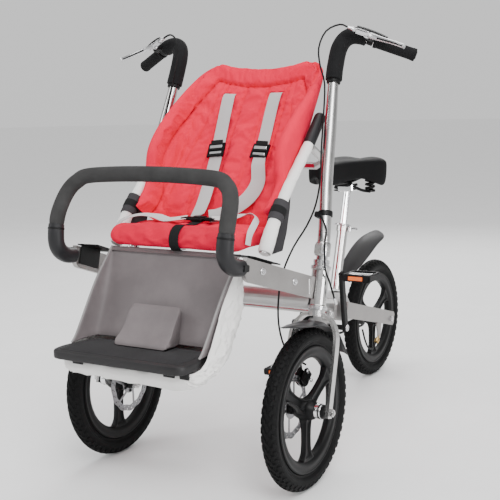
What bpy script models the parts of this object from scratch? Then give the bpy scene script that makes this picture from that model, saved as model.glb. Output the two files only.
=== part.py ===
"""A stroller tricycle: a child seat between two steered front wheels, with a bicycle rear end.

Lengths are in metres and +Z is up. The child faces -Y, and +X is the child's left.
Shapes are drawn in the axle frame, whose origin is on the ground midway below the front axles.
Every object hangs from one empty that moves this origin to the middle of the whole length.
"""

import math

import bmesh
import bpy
from mathutils import Matrix, Vector

# Driving dimensions
WHEEL_RADIUS = 0.200
TYRE_SECTION_RADIUS = 0.021
HALF_TRACK = 0.289
WHEELBASE = 1.047
FOOTREST_FRONT_Y = -0.380
REAR_END_Y = WHEELBASE + WHEEL_RADIUS
FRAME_CENTRE_Y = (REAR_END_Y + FOOTREST_FRONT_Y) / 2
GAP = 0.0004
SLEEVE_GAP = 0.0013
CHAIN_GAP = 0.0013

# Steering: the head tubes lean back, and both steering axes are parallel
STEER_LEAN = math.radians(14)
STEER_UP = Vector((0, math.sin(STEER_LEAN), math.cos(STEER_LEAN)))
STEER_BACK = Vector((0, math.cos(STEER_LEAN), -math.sin(STEER_LEAN)))
HEAD_CENTRE_Y = 0.076
HEAD_CENTRE_Z = 0.489
HEAD_HALF_LENGTH = 0.053
HEAD_RADIUS = 0.0215
HEAD_CUP_RADIUS = 0.0245
HEAD_BORE = 0.0150
STEERER_RADIUS = 0.0144
CROWN_DROP = 0.066
STEM_BASE_TOP = 0.112
STEERING_ARM = 0.075
TIE_ROD_RISE = 0.008
TIE_ROD_RADIUS = 0.0045
PIN_RADIUS = 0.0040

# Fork, axle and brake
LEG_OFFSET = 0.0625
STRAP_THICKNESS = 0.008
STRAP_WIDTH = 0.020
AXLE_RADIUS = 0.0050
AXLE_BORE = 0.0055
HUB_HALF_WIDTH = 0.049
SPROCKET_SIDE_HUB = 0.034
ROTOR_OFFSET = 0.040
ROTOR_RADIUS = 0.080

# Handle stems
STEM_RADIUS = 0.0160
HANDLE_RADIUS = 0.0110
FOAM_RADIUS = 0.0215
GRIP_RADIUS = 0.0160
CABLE_RADIUS = 0.0025

# Main frame and bicycle end
BEAM_RADIUS = 0.0225
CROSSBEAM_Y = 0.070
CROSSBEAM_Z = 0.457
BEAM_END = Vector((0, 0.735, 0.294))
BOTTOM_BRACKET = Vector((0, 0.648, 0.251))
SEAT_TUBE_FOOT = Vector((0, 0.7560, 0.3405))
SEAT_TUBE_TOP = Vector((0, 0.8180, 0.5430))
SEAT_TUBE_RADIUS = 0.0170
SEAT_POST_RADIUS = 0.0125
REAR_ARM_OFFSET = 0.062
REAR_ARM_THICKNESS = 0.012
REAR_ARM_HEIGHT = 0.050
CHAIN_LINE = -0.040
CHAINRING_RADIUS = 0.0600
SPROCKET_RADIUS = 0.0300
CHAIN_RADIUS = 0.0035
CRANK_LENGTH = 0.170
CRANK_LEAN = math.radians(8)
CRANK_OFFSET = 0.087
PEDAL_OFFSET = 0.152

# Side arms and child seat
ARM_REAR = Vector((0.2825, 0.052, 0.492))
ARM_FRONT = Vector((0.2455, -0.2095, 0.5748))
ARM_HEIGHT = 0.053
ARM_THICKNESS = 0.012
BACK_RECLINE = math.radians(34)
BACK_FOOT = Vector((0, 0.080, 0.650))
BACK_UP = Vector((0, math.sin(BACK_RECLINE), math.cos(BACK_RECLINE)))
BACK_FORWARD = Vector((0, -math.cos(BACK_RECLINE), math.sin(BACK_RECLINE)))
WING_X = 0.1955
SEAT_TUBE_X = 0.2205
SIDES = {"left": 1, "right": -1}

# Colour, roughness and metallic value of each kind of finish
LOOKS = {
    "silver": ((0.72, 0.71, 0.70), 0.38, 0.85),
    "arm_grey": ((0.55, 0.53, 0.52), 0.45, 0.70),
    "chrome": ((0.82, 0.82, 0.83), 0.12, 1.00),
    "black_metal": ((0.03, 0.03, 0.03), 0.45, 0.60),
    "black_plastic": ((0.035, 0.035, 0.037), 0.55, 0.0),
    "grey_plastic": ((0.09, 0.09, 0.095), 0.50, 0.0),
    "tyre": ((0.025, 0.025, 0.026), 0.85, 0.0),
    "foam": ((0.045, 0.045, 0.048), 0.90, 0.0),
    "red_fabric": ((0.86, 0.06, 0.09), 0.85, 0.0),
    "grey_panel": ((0.19, 0.17, 0.18), 0.65, 0.0),
    "white_fabric": ((0.85, 0.85, 0.84), 0.80, 0.0),
}


def clear_scene():
    for obj in list(bpy.data.objects):
        bpy.data.objects.remove(obj)


def new_collection(name):
    collection = bpy.data.collections.new(name)
    bpy.context.scene.collection.children.link(collection)
    return collection


clear_scene()
PARTS = new_collection("stroller_tricycle")
ORIGIN = bpy.data.objects.new("length_centre", None)
ORIGIN.location = (0, -FRAME_CENTRE_Y, 0)
PARTS.objects.link(ORIGIN)


# Tools for making solids


def add_material(obj, look):
    colour, roughness, metallic = LOOKS[look]
    material = bpy.data.materials.new(obj.name + "_finish")
    material.use_nodes = True
    shader = material.node_tree.nodes["Principled BSDF"]
    shader.inputs["Base Color"].default_value = (*colour, 1)
    shader.inputs["Roughness"].default_value = roughness
    shader.inputs["Metallic"].default_value = metallic
    obj.data.materials.clear()
    obj.data.materials.append(material)


def solid(name, bm):
    """Turns a bmesh into an object, with every face pointing out."""
    bmesh.ops.remove_doubles(bm, verts=bm.verts, dist=1e-6)
    bmesh.ops.recalc_face_normals(bm, faces=bm.faces)
    mesh = bpy.data.meshes.new(name)
    bm.to_mesh(mesh)
    bm.free()
    obj = bpy.data.objects.new(name, mesh)
    PARTS.objects.link(obj)
    return obj


def evaluated(obj):
    """The object's mesh with its modifiers applied, as a new mesh object that takes its place."""
    bpy.context.view_layer.update()
    depsgraph = bpy.context.evaluated_depsgraph_get()
    mesh = bpy.data.meshes.new_from_object(obj.evaluated_get(depsgraph))
    mesh.transform(obj.matrix_world)
    name = obj.name
    bpy.data.objects.remove(obj)
    bm = bmesh.new()
    bm.from_mesh(mesh)
    bpy.data.meshes.remove(mesh)
    return solid(name, bm)


def combine(obj, other, operation):
    """A Boolean of two objects, after which the second is gone."""
    modifier = obj.modifiers.new("combine", "BOOLEAN")
    modifier.operation = operation
    modifier.object = other
    modifier.solver = "EXACT"
    result = evaluated(obj)
    bpy.data.objects.remove(other)
    return result


def join(obj, *others):
    for other in others:
        obj = combine(obj, other, "UNION")
    return obj


def cut(obj, *others):
    for other in others:
        obj = combine(obj, other, "DIFFERENCE")
    return obj


def rod(name, start, end, radius, segments=20, end_radius=None):
    """A cylinder or cone between two points."""
    start, end = Vector(start), Vector(end)
    bm = bmesh.new()
    bmesh.ops.create_cone(
        bm,
        cap_ends=True,
        segments=segments,
        radius1=radius,
        radius2=radius if end_radius is None else end_radius,
        depth=(end - start).length,
    )
    turn = (end - start).to_track_quat("Z", "Y").to_matrix().to_4x4()
    bm.transform(Matrix.Translation((start + end) / 2) @ turn)
    return solid(name, bm)


def axes_matrix(origin, x_axis, y_axis):
    """The matrix that carries local X and Y onto two given directions at an origin."""
    x_axis = Vector(x_axis).normalized()
    y_axis = Vector(y_axis)
    y_axis = (y_axis - x_axis * y_axis.dot(x_axis)).normalized()
    z_axis = x_axis.cross(y_axis)
    matrix = Matrix((x_axis, y_axis, z_axis)).transposed().to_4x4()
    matrix.translation = Vector(origin)
    return matrix


def block(name, size, matrix, bevel=0.0):
    """A box of the given size, centred on the matrix's origin."""
    bm = bmesh.new()
    bmesh.ops.create_cube(bm, size=1)
    bmesh.ops.scale(bm, vec=size, verts=bm.verts)
    if bevel:
        bmesh.ops.bevel(bm, geom=bm.edges[:], offset=bevel, segments=1, affect="EDGES")
    bm.transform(matrix)
    return solid(name, bm)


def plate(name, outline, thickness, matrix):
    """A flat outline in the matrix's XY plane, filled and extruded to both sides."""
    curve = bpy.data.curves.new(name, "CURVE")
    curve.dimensions = "2D"
    curve.fill_mode = "BOTH"
    curve.extrude = thickness / 2
    spline = curve.splines.new("POLY")
    spline.points.add(len(outline) - 1)
    for point, (u, v) in zip(spline.points, outline):
        point.co = (u, v, 0, 1)
    spline.use_cyclic_u = True
    obj = bpy.data.objects.new(name, curve)
    PARTS.objects.link(obj)
    obj.matrix_world = matrix
    return evaluated(obj)


def side_plate(name, outline, x_centre, thickness):
    """A plate whose outline is given in (y, z)."""
    return plate(name, outline, thickness, axes_matrix((x_centre, 0, 0), (0, 1, 0), (0, 0, 1)))


def smooth(points, counts):
    """A Catmull-Rom curve through the points. counts is the number of steps in each stretch."""
    points = [Vector(p) for p in points]
    if isinstance(counts, int):
        counts = [counts] * (len(points) - 1)
    ends = [2 * points[0] - points[1]] + points + [2 * points[-1] - points[-2]]
    path = []
    for i, count in enumerate(counts):
        a, b, c, d = ends[i : i + 4]
        for step in range(count):
            t = step / count
            path.append(
                0.5 * (2 * b + (c - a) * t + (2 * a - 5 * b + 4 * c - d) * t**2
                       + (3 * b - a - 3 * c + d) * t**3)
            )
    return path + [points[-1]]


def tube(name, path, radius, resolution=2, wall=0.0, radii=None, cyclic=False):
    """A tube along a path, solid or with an outward wall round an open bore."""
    curve = bpy.data.curves.new(name, "CURVE")
    curve.dimensions = "3D"
    curve.bevel_depth = radius
    curve.bevel_resolution = resolution
    curve.use_fill_caps = not wall
    spline = curve.splines.new("POLY")
    spline.points.add(len(path) - 1)
    for i, (point, place) in enumerate(zip(spline.points, path)):
        point.co = (*place, 1)
        point.radius = radii[i] / radius if radii else 1
    spline.use_cyclic_u = cyclic
    obj = bpy.data.objects.new(name, curve)
    PARTS.objects.link(obj)
    obj = evaluated(obj)
    if wall:
        thicken(obj, wall, 1)
        obj = evaluated(obj)
    return obj


def thicken(obj, thickness, offset):
    modifier = obj.modifiers.new("wall", "SOLIDIFY")
    modifier.thickness = thickness
    modifier.offset = offset
    modifier.use_even_offset = True


def turned(name, profile, centre, axis, segments=24):
    """A closed (radius, height) profile turned about an axis through a centre."""
    mesh = bpy.data.meshes.new(name)
    count = len(profile)
    mesh.from_pydata([(r, 0, h) for r, h in profile], [(i, (i + 1) % count) for i in range(count)], [])
    obj = bpy.data.objects.new(name, mesh)
    PARTS.objects.link(obj)
    screw = obj.modifiers.new("turn", "SCREW")
    screw.steps = segments
    screw.render_steps = segments
    screw.use_merge_vertices = True
    screw.merge_threshold = 1e-5
    turn = Vector(axis).to_track_quat("Z", "Y").to_matrix().to_4x4()
    obj.matrix_world = Matrix.Translation(Vector(centre)) @ turn
    return evaluated(obj)


def loft(name, sections):
    """A solid skin over closed sections that have the same number of points."""
    bm = bmesh.new()
    rings = [[bm.verts.new(p) for p in section] for section in sections]
    count = len(rings[0])
    for low, high in zip(rings, rings[1:]):
        for i in range(count):
            bm.faces.new((low[i], low[(i + 1) % count], high[(i + 1) % count], high[i]))
    bm.faces.new(rings[0])
    bm.faces.new(rings[-1])
    return solid(name, bm)


def shell(name, rows, thickness, offset):
    """A sheet over rows of points, given a thickness. Offset 1 grows it along the sheet's normal."""
    bm = bmesh.new()
    grid = [[bm.verts.new(p) for p in row] for row in rows]
    for low, high in zip(grid, grid[1:]):
        for i in range(len(low) - 1):
            bm.faces.new((low[i], low[i + 1], high[i + 1], high[i]))
    mesh = bpy.data.meshes.new(name)
    bm.to_mesh(mesh)
    bm.free()
    obj = bpy.data.objects.new(name, mesh)
    PARTS.objects.link(obj)
    thicken(obj, thickness, offset)
    return evaluated(obj)


def part(obj, name, look, pivot=None):
    """Names a finished solid, moves its origin onto its joint's axis and hangs it in the assembly."""
    obj.name = name
    obj.data.name = name
    if pivot is not None:
        obj.data.transform(Matrix.Translation(-Vector(pivot)))
        obj.location = Vector(pivot)
    obj.parent = ORIGIN
    obj.data.shade_smooth()
    obj.data.set_sharp_from_angle(angle=math.radians(35))
    add_material(obj, look)
    return obj


# Places that several pieces share


def steer_point(side, along):
    """A point on one steering axis, measured up from the middle of its head tube."""
    return Vector((side * HALF_TRACK, HEAD_CENTRE_Y, HEAD_CENTRE_Z)) + STEER_UP * along


def wheel_centre(side):
    return Vector((side * HALF_TRACK, 0, WHEEL_RADIUS))


def mirrored(point, side):
    return Vector((side * point[0], point[1], point[2]))


REAR_HUB = Vector((0, WHEELBASE, WHEEL_RADIUS))
SEAT_TUBE_UP = (SEAT_TUBE_TOP - SEAT_TUBE_FOOT).normalized()
ARM_AHEAD = (ARM_FRONT - ARM_REAR).normalized()


# Frame


def crossbeam():
    """The tube between the two head tubes."""
    reach = HALF_TRACK - 0.002
    beam = rod("beam", (-reach, CROSSBEAM_Y, CROSSBEAM_Z), (reach, CROSSBEAM_Y, CROSSBEAM_Z), BEAM_RADIUS)
    for side in SIDES.values():
        beam = cut(beam, rod("head", steer_point(side, -0.09), steer_point(side, 0.09), HEAD_CUP_RADIUS + GAP, 24))
    part(beam, "crossbeam", "silver")


def main_beam():
    """The sloping beam with its lug, yoke and bottom bracket shell, welded into one piece."""
    beam = rod("beam", (0, CROSSBEAM_Y, CROSSBEAM_Z), BEAM_END, BEAM_RADIUS)
    lug = side_plate("lug", [(0.700, 0.262), (0.800, 0.240), (0.803, 0.298), (0.770, 0.3395),
                             (0.742, 0.3395), (0.716, 0.325)], 0, 0.060)
    yoke = block("yoke", (0.111, 0.046, 0.030), Matrix.Translation((0, 0.757, 0.266)))
    bracket = side_plate("bracket", [(0.632, 0.262), (0.710, 0.262), (0.710, 0.290), (0.632, 0.310)], 0, 0.030)
    shell_tube = rod("shell", BOTTOM_BRACKET - Vector((0.034, 0, 0)), BOTTOM_BRACKET + Vector((0.034, 0, 0)), 0.021)
    bore = rod("bore", BOTTOM_BRACKET - Vector((0.05, 0, 0)), BOTTOM_BRACKET + Vector((0.05, 0, 0)), 0.0095, 16)
    socket = rod("socket", (-0.1, CROSSBEAM_Y, CROSSBEAM_Z), (0.1, CROSSBEAM_Y, CROSSBEAM_Z), BEAM_RADIUS + GAP, 32)
    part(cut(join(beam, lug, yoke, bracket, shell_tube), bore, socket), "main_beam", "silver")


def head_tube(name, side):
    h, cup = HEAD_HALF_LENGTH, 0.008
    profile = [(HEAD_BORE, h), (HEAD_CUP_RADIUS, h), (HEAD_CUP_RADIUS, h - cup), (HEAD_RADIUS, h - cup - 0.003),
               (HEAD_RADIUS, -h + cup + 0.003), (HEAD_CUP_RADIUS, -h + cup), (HEAD_CUP_RADIUS, -h), (HEAD_BORE, -h)]
    part(turned("head", profile, steer_point(side, 0), STEER_UP), f"head_tube_{name}", "silver")


def bike_seat_tube():
    """The tube that holds the seat post, with its clamp collar."""
    foot = SEAT_TUBE_FOOT + SEAT_TUBE_UP * 0.006
    barrel = rod("barrel", foot, SEAT_TUBE_TOP, SEAT_TUBE_RADIUS)
    collar = rod("collar", SEAT_TUBE_TOP - SEAT_TUBE_UP * 0.018, SEAT_TUBE_TOP - SEAT_TUBE_UP * 0.001, 0.0205)
    bore = rod("bore", foot + SEAT_TUBE_UP * 0.010, SEAT_TUBE_TOP + SEAT_TUBE_UP * 0.02, SEAT_POST_RADIUS + GAP)
    part(cut(join(barrel, collar), bore), "bike_seat_tube", "silver")


def rear_arm(name, side):
    """One flat side arm that carries the rear axle."""
    front, rear = Vector((0.705, 0.2945)), Vector((1.072, 0.1965))
    along = (rear - front).normalized()
    up = Vector((-along.y, along.x)) * REAR_ARM_HEIGHT / 2
    tail = [rear + up * 0.92, rear + up * 0.6 + along * 0.008, rear - up * 0.6 + along * 0.008, rear - up * 0.92]
    outline = [front - up, front + up, *tail]
    arm = side_plate("arm", outline, side * REAR_ARM_OFFSET, REAR_ARM_THICKNESS)
    hole = rod("hole", REAR_HUB + Vector((side * 0.03, 0, 0)), REAR_HUB + Vector((side * 0.09, 0, 0)), AXLE_BORE, 12)
    part(cut(arm, hole), f"rear_arm_{name}", "arm_grey")


def arm_matrix(side, offset_out=0.0, offset_up=0.0, ahead=0.0):
    """Local X forward along a side arm, local Y up and local Z out of its face."""
    middle = mirrored((ARM_REAR + ARM_FRONT) / 2, side)
    forward = mirrored(ARM_AHEAD, side)
    matrix = axes_matrix(middle, forward, (0, 0, 1))
    outward = matrix.to_3x3() @ Vector((0, 0, 1))
    sign = 1 if outward.x * side > 0 else -1
    shift = outward * sign * offset_out + (matrix.to_3x3() @ Vector((ahead, offset_up, 0)))
    matrix.translation = middle + shift
    return matrix


def side_arm(name, side):
    """The flat arm that runs forward from a head tube and holds the seat and the bumper bar."""
    half = ARM_HEIGHT / 2
    reach = (ARM_FRONT - ARM_REAR).length / 2
    nose = [(reach - half + half * math.sin(math.radians(a)), -half * math.cos(math.radians(a)))
            for a in range(0, 91, 15)]
    arm = plate("arm", [(-reach, half), (-reach, -half), *nose, (reach, half)], ARM_THICKNESS, arm_matrix(side))
    head = rod("head", steer_point(side, -0.09), steer_point(side, 0.09), HEAD_CUP_RADIUS + GAP, 24)
    part(cut(arm, head), f"side_arm_{name}", "arm_grey")


def seat_bracket(name, side):
    """The angle bracket on a side arm that the child seat's foot stands on."""
    length, plate_gap = 0.105, ARM_THICKNESS / 2 + GAP
    ahead = 0.075
    flange = block("flange", (length, 0.003, 0.058),
                   arm_matrix(side, -0.023, ARM_HEIGHT / 2 + 0.006, ahead - 0.010))
    web = block("web", (length - 0.015, 0.050, 0.003), arm_matrix(side, -plate_gap - 0.0015, 0.009, ahead))
    part(join(flange, web), f"seat_bracket_{name}", "black_metal")


def mudguard_strip(name, ribs, thickness):
    """A crowned blade over ribs, each a (middle point, side direction, half width, crown direction)."""
    rows = []
    for middle, across, half_width, crown in ribs:
        row = []
        for step in range(5):
            t = step / 2 - 1
            row.append(middle + across * half_width * t - crown * half_width * 0.35 * t**2)
        rows.append(row)
    return shell(name, rows, thickness, 1)


def rear_mudguard():
    """A spoon-shaped blade that rises from the seat tube over the rear wheel."""
    spine = smooth([(0, 0.806, 0.372), (0, 0.880, 0.418), (0, 0.985, 0.470), (0, 1.085, 0.498)], 2)
    widths = [0.020, 0.030, 0.036, 0.040, 0.041, 0.036, 0.016]
    crown = Vector((0, -0.45, 0.89))
    ribs = [(p, Vector((1, 0, 0)), w, crown) for p, w in zip(spine, widths)]
    part(mudguard_strip("blade", ribs, 0.003), "rear_mudguard", "grey_plastic")


def hex_nut(name, start, end):
    return rod(name, start, end, 0.0100, 6)


def rear_axle():
    shaft = rod("shaft", REAR_HUB - Vector((0.078, 0, 0)), REAR_HUB + Vector((0.078, 0, 0)), AXLE_RADIUS, 12)
    nuts = [hex_nut("nut", REAR_HUB + Vector((s * 0.0685, 0, 0)), REAR_HUB + Vector((s * 0.0755, 0, 0)))
            for s in SIDES.values()]
    part(join(shaft, *nuts), "rear_axle", "silver")


# Steering


def fork_arch(side):
    """The strap fork: an arch in a plane that leans from the axle up to the crown."""
    crown = steer_point(side, -CROWN_DROP)
    centre = wheel_centre(side)
    height = (crown - centre).length
    half = [(LEG_OFFSET, -0.014), (LEG_OFFSET, 0.110), (LEG_OFFSET - 0.0005, 0.165), (LEG_OFFSET - 0.004, 0.193),
            (LEG_OFFSET - 0.016, 0.216), (0.030, 0.230), (0.012, height)]
    smooth_half = [(p.x, p.y) for p in smooth([(u, v, 0) for u, v in half], 2)]
    outer, inner = [], []
    last = len(smooth_half) - 1
    for i, (u, v) in enumerate(smooth_half):
        before, after = smooth_half[max(i - 1, 0)], smooth_half[min(i + 1, last)]
        run = Vector((after[0] - before[0], after[1] - before[1])).normalized()
        aside = Vector((run.y, -run.x)) * STRAP_THICKNESS / 2
        outer.append((u + aside.x, v + aside.y))
        inner.append((u - aside.x, v - aside.y))
    right = outer + inner[::-1][:0]
    outline = right + [(-u, v) for u, v in outer[::-1]] + [(-u, v) for u, v in inner] + inner[::-1]
    up = crown - centre
    return plate("arch", outline, STRAP_WIDTH, axes_matrix(centre, (1, 0, 0), up))


def fork(name, side):
    """Arch, steerer with its lock nut, steering arm with its pin, and axle with its nuts."""
    arch = fork_arch(side)
    crown_race = rod("race", steer_point(side, -0.071), steer_point(side, -HEAD_HALF_LENGTH - GAP), 0.0205)
    steerer = rod("steerer", steer_point(side, -0.071), steer_point(side, STEM_BASE_TOP - 0.006), STEERER_RADIUS)
    nut = rod("nut", steer_point(side, HEAD_HALF_LENGTH + GAP), steer_point(side, 0.068), 0.0195, 8)
    arm = block("arm", (0.020, STEERING_ARM + 0.006, 0.005),
                axes_matrix(steer_point(side, -0.068) + STEER_BACK * (STEERING_ARM / 2 + 0.003), (1, 0, 0), STEER_BACK),
                0.001)
    pivot = steer_point(side, -0.068) + STEER_BACK * STEERING_ARM
    pin = rod("pin", pivot, pivot + STEER_UP * 0.0145, PIN_RADIUS, 12)
    centre = wheel_centre(side)
    reach = LEG_OFFSET + 0.015
    axle = rod("axle", centre - Vector((reach, 0, 0)), centre + Vector((reach, 0, 0)), AXLE_RADIUS, 12)
    nuts = [hex_nut("nut", centre + Vector((s * (LEG_OFFSET + 0.003), 0, 0)), centre + Vector((s * (reach - 0.003), 0, 0)))
            for s in SIDES.values()]
    body = join(arch, crown_race, steerer, nut, arm, pin, axle, *nuts)
    part(body, f"fork_{name}", "silver", steer_point(side, 0))


def front_mudguard(name, side):
    """A short blade under the fork crown, drawn up to a point in front."""
    angles = [-27, -18, -8, 4, 20, 40, 62]
    radii = [0.253, 0.2355, 0.2225, 0.2180, 0.2160, 0.2160, 0.2160]
    widths = [0.003, 0.017, 0.025, 0.028, 0.029, 0.029, 0.026]
    centre = wheel_centre(side)
    ribs = []
    for angle, radius, width in zip(angles, radii, widths):
        lean = math.radians(angle)
        outward = Vector((0, math.sin(lean), math.cos(lean)))
        ribs.append((centre + outward * radius, Vector((1, 0, 0)), width, outward))
    part(mudguard_strip("blade", ribs, 0.002), f"front_mudguard_{name}", "grey_plastic", steer_point(side, 0))


def caliper(name, side):
    """A disc brake caliper behind the inner fork leg, astride the rotor."""
    centre = wheel_centre(side) + Vector((-side * ROTOR_OFFSET, 0.061, 0.062))
    frame = axes_matrix(centre, (1, 0, 0), (0, 1, 1))
    body = block("body", (0.030, 0.034, 0.046), frame, 0.003)
    slot = block("slot", (0.0045, 0.060, 0.080), frame @ Matrix.Translation((0, -0.022, 0)))
    body = cut(body, slot)
    part(body, f"brake_caliper_{name}", "black_metal", steer_point(side, 0))


STEM_POINTS = [
    (0.289, 0.1058, 0.6080),
    (0.2835, 0.1240, 0.6550),
    (0.2700, 0.1610, 0.7500),
    (0.2590, 0.2060, 0.8750),
    (0.2480, 0.2500, 0.9960),
    (0.2460, 0.2670, 1.0380),
    (0.2475, 0.2830, 1.0740),
    (0.2570, 0.2960, 1.0970),
    (0.2760, 0.3030, 1.1070),
    (0.3000, 0.3080, 1.1050),
    (0.3180, 0.3125, 1.0980),
    (0.3320, 0.3180, 1.0915),
    (0.4265, 0.3570, 1.0540),
]
STEM_STEPS = [1, 1, 1, 1, 2, 2, 3, 3, 2, 1, 1, 1]
FOAM_START = 4
FOAM_END = 15
CLAMP_START = 16
GRIP_START = 17


def stem_path(side):
    return [mirrored(p, side) for p in smooth(STEM_POINTS, STEM_STEPS)]


def stem(name, side):
    """The handle stem: a tube clamped on the steerer that leans back and turns out into a handle."""
    path = stem_path(side)
    radii = [STEM_RADIUS] * (FOAM_END + 1) + [HANDLE_RADIUS] * (len(path) - FOAM_END - 1)
    handle = tube("handle", path, STEM_RADIUS, 2, radii=radii)
    clamp = rod("clamp", steer_point(side, 0.078), steer_point(side, STEM_BASE_TOP), 0.0190, 20)
    neck = rod("neck", steer_point(side, STEM_BASE_TOP - 0.001), path[1], 0.0185, 20, 0.0165)
    boss = block("boss", (0.022, 0.016, 0.026), axes_matrix(
        steer_point(side, 0.094) - STEER_BACK * 0.020, (1, 0, 0), STEER_BACK), 0.002)
    bolt_start = steer_point(side, 0.094) - STEER_BACK * 0.021
    bolt = rod("bolt", bolt_start, bolt_start + Vector((side * 0.024, 0, 0)), 0.0050, 6)
    bore = rod("bore", steer_point(side, 0.06), steer_point(side, STEM_BASE_TOP - 0.005), STEERER_RADIUS + GAP)
    part(cut(join(handle, neck, clamp, boss, bolt), bore), f"stem_{name}", "silver", steer_point(side, 0))


def sleeve(name, path, inner_radius, wall):
    return tube(name, path, inner_radius, 2, wall=wall)


def handle_covers(name, side):
    path = stem_path(side)
    axis_point = steer_point(side, 0)
    foam = sleeve("foam", path[FOAM_START : FOAM_END + 1], STEM_RADIUS + SLEEVE_GAP,
                  FOAM_RADIUS - STEM_RADIUS - SLEEVE_GAP)
    part(foam, f"foam_cover_{name}", "foam", axis_point)
    grip = sleeve("grip", path[GRIP_START:], HANDLE_RADIUS + SLEEVE_GAP,
                  GRIP_RADIUS - HANDLE_RADIUS - SLEEVE_GAP)
    part(grip, f"grip_{name}", "foam", axis_point)


LEVER_PIVOT = Vector((0.3300, 0.2760, 1.1080))
LEVER_TIP = Vector((0.4360, 0.2630, 1.0730))
HANDLE_OUT = Vector((0.0945, 0.0390, -0.0375)).normalized()


def lever_normal(side):
    """The direction of a brake lever's pivot pin, pointing up on either side."""
    return mirrored(HANDLE_OUT.cross(Vector((0, 1, 0.2))).normalized(), side)


def lever_mount(name, side):
    """The clamp on the handle that holds the brake lever and the cable's end."""
    path = stem_path(side)
    axis_point = steer_point(side, 0)
    start, end = path[CLAMP_START], path[GRIP_START]
    middle = (start + end) / 2
    along = (end - start).normalized()
    ring = rod("ring", middle - along * 0.0068, middle + along * 0.0068, 0.0165)
    pivot = mirrored(LEVER_PIVOT, side)
    reach = pivot - middle
    block_matrix = axes_matrix(middle + reach * 0.56, reach, along)
    housing = block("housing", (reach.length * 0.62, 0.013, 0.012), block_matrix, 0.002)
    barrel_start = pivot - mirrored(HANDLE_OUT, side) * 0.030
    barrel = rod("barrel", barrel_start, pivot - mirrored(HANDLE_OUT, side) * 0.002, 0.0060, 12)
    axis = lever_normal(side)
    cheek = rod("cheek", pivot - axis * 0.0092, pivot - axis * 0.0053, 0.0090, 12)
    bridge = block("bridge", (0.020, 0.012, 0.004),
                   axes_matrix(pivot - axis * 0.0073 - reach.normalized() * 0.010, reach, along))
    bore = tube("bore", path[CLAMP_START - 1 : GRIP_START + 2], HANDLE_RADIUS + 0.0008, 3)
    body = cut(join(ring, housing, bridge, cheek, barrel), bore)
    washer = rod("washer", pivot - axis * 0.0051, pivot + axis * 0.012, 0.0115, 16)
    part(cut(body, washer), f"lever_mount_{name}", "black_metal", axis_point)


def brake_lever(name, side):
    """A cranked flat blade that swings about the mount's pivot."""
    pivot, tip = mirrored(LEVER_PIVOT, side), mirrored(LEVER_TIP, side)
    axis = lever_normal(side)
    blade_run = tip - pivot
    bend = pivot + blade_run * 0.32 + Vector((0, -0.008, 0.002))
    path = smooth([pivot, bend, pivot + blade_run * 0.7 + Vector((0, -0.006, 0)), tip], 2)
    blade = tube("blade", path, 0.0048, 2, radii=[0.0024, 0.0044, 0.0048, 0.0044, 0.0042, 0.0040, 0.0050])
    eye = rod("eye", pivot - axis * 0.0027, pivot + axis * 0.0035, 0.0085, 14)
    part(join(blade, eye), f"brake_lever_{name}", "silver", pivot)


def tie_rod():
    """The rod that joins both steering arms, with an eye at each end."""
    ends = [steer_point(s, -0.068) + STEER_BACK * STEERING_ARM + STEER_UP * TIE_ROD_RISE for s in SIDES.values()]
    bar = rod("bar", ends[0], ends[1], TIE_ROD_RADIUS, 12)
    eyes = [rod("eye", e - STEER_UP * 0.0045, e + STEER_UP * 0.0045, 0.0095, 16) for e in ends]
    bores = [rod("bore", e - STEER_UP * 0.02, e + STEER_UP * 0.02, PIN_RADIUS + 0.0005, 12) for e in ends]
    part(cut(join(bar, *eyes), *bores), "tie_rod", "silver", ends[0])


# Wheels


def tyre(name, centre):
    """A round tyre section, flat where it sits on the rim."""
    ring_radius = WHEEL_RADIUS - TYRE_SECTION_RADIUS
    profile = []
    for step in range(10):
        angle = math.radians(90 - 36 * step)
        profile.append((ring_radius + TYRE_SECTION_RADIUS * math.cos(angle),
                        TYRE_SECTION_RADIUS * math.sin(angle)))
    profile[0] = (profile[0][0], TYRE_SECTION_RADIUS)
    part(turned("tyre", profile, centre, (1, 0, 0), 40), name, "tyre", centre)


def cast_wheel(name, centre, right_end=HUB_HALF_WIDTH):
    """A one-piece wheel: rim band, three flat spokes and a hub with a bore, which ends at right_end on the right."""
    outer = WHEEL_RADIUS - 2 * TYRE_SECTION_RADIUS - GAP
    rim = turned("rim", [(outer, 0.012), (outer, -0.012), (0.140, -0.016), (0.127, -0.009),
                         (0.127, 0.009), (0.140, 0.016)], centre, (1, 0, 0), 40)
    hub_profile = [(AXLE_BORE, HUB_HALF_WIDTH), (0.0175, HUB_HALF_WIDTH), (0.0175, 0.024), (0.024, 0.020),
                   (0.024, -0.020), (0.0175, -0.024), (0.0175, -right_end), (AXLE_BORE, -right_end)]
    hub = turned("hub", hub_profile, centre, (1, 0, 0), 22)
    wheel = join(rim, *(spoke(centre, math.radians(turn)) for turn in (-91.3, 28.7, 148.7)))
    part(join(wheel, hub), name, "black_metal", centre)


def spoke(centre, angle):
    """A flat spoke from the hub to the rim band, at an angle from +Y toward +Z."""
    outward = Vector((0, math.cos(angle), math.sin(angle)))
    matrix = axes_matrix(centre + outward * 0.0765, outward, outward.cross(Vector((1, 0, 0))))
    return block("spoke", (0.1115, 0.030, 0.0138), matrix, 0.003)


def rotor(name, side):
    centre = wheel_centre(side) - Vector((side * ROTOR_OFFSET, 0, 0))
    profile = [(ROTOR_RADIUS, 0.001), (ROTOR_RADIUS, -0.001), (0.0179, -0.001), (0.0179, 0.001)]
    part(turned("rotor", profile, centre, (1, 0, 0), 28), f"brake_rotor_{name}", "silver", wheel_centre(side))


# Pedal drive


def crank_tip(sign):
    """The pedal end of a crank: sign 1 is the left crank, which stands up."""
    lean = Vector((0, -math.sin(CRANK_LEAN), math.cos(CRANK_LEAN)))
    return BOTTOM_BRACKET + lean * CRANK_LENGTH * sign


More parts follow.
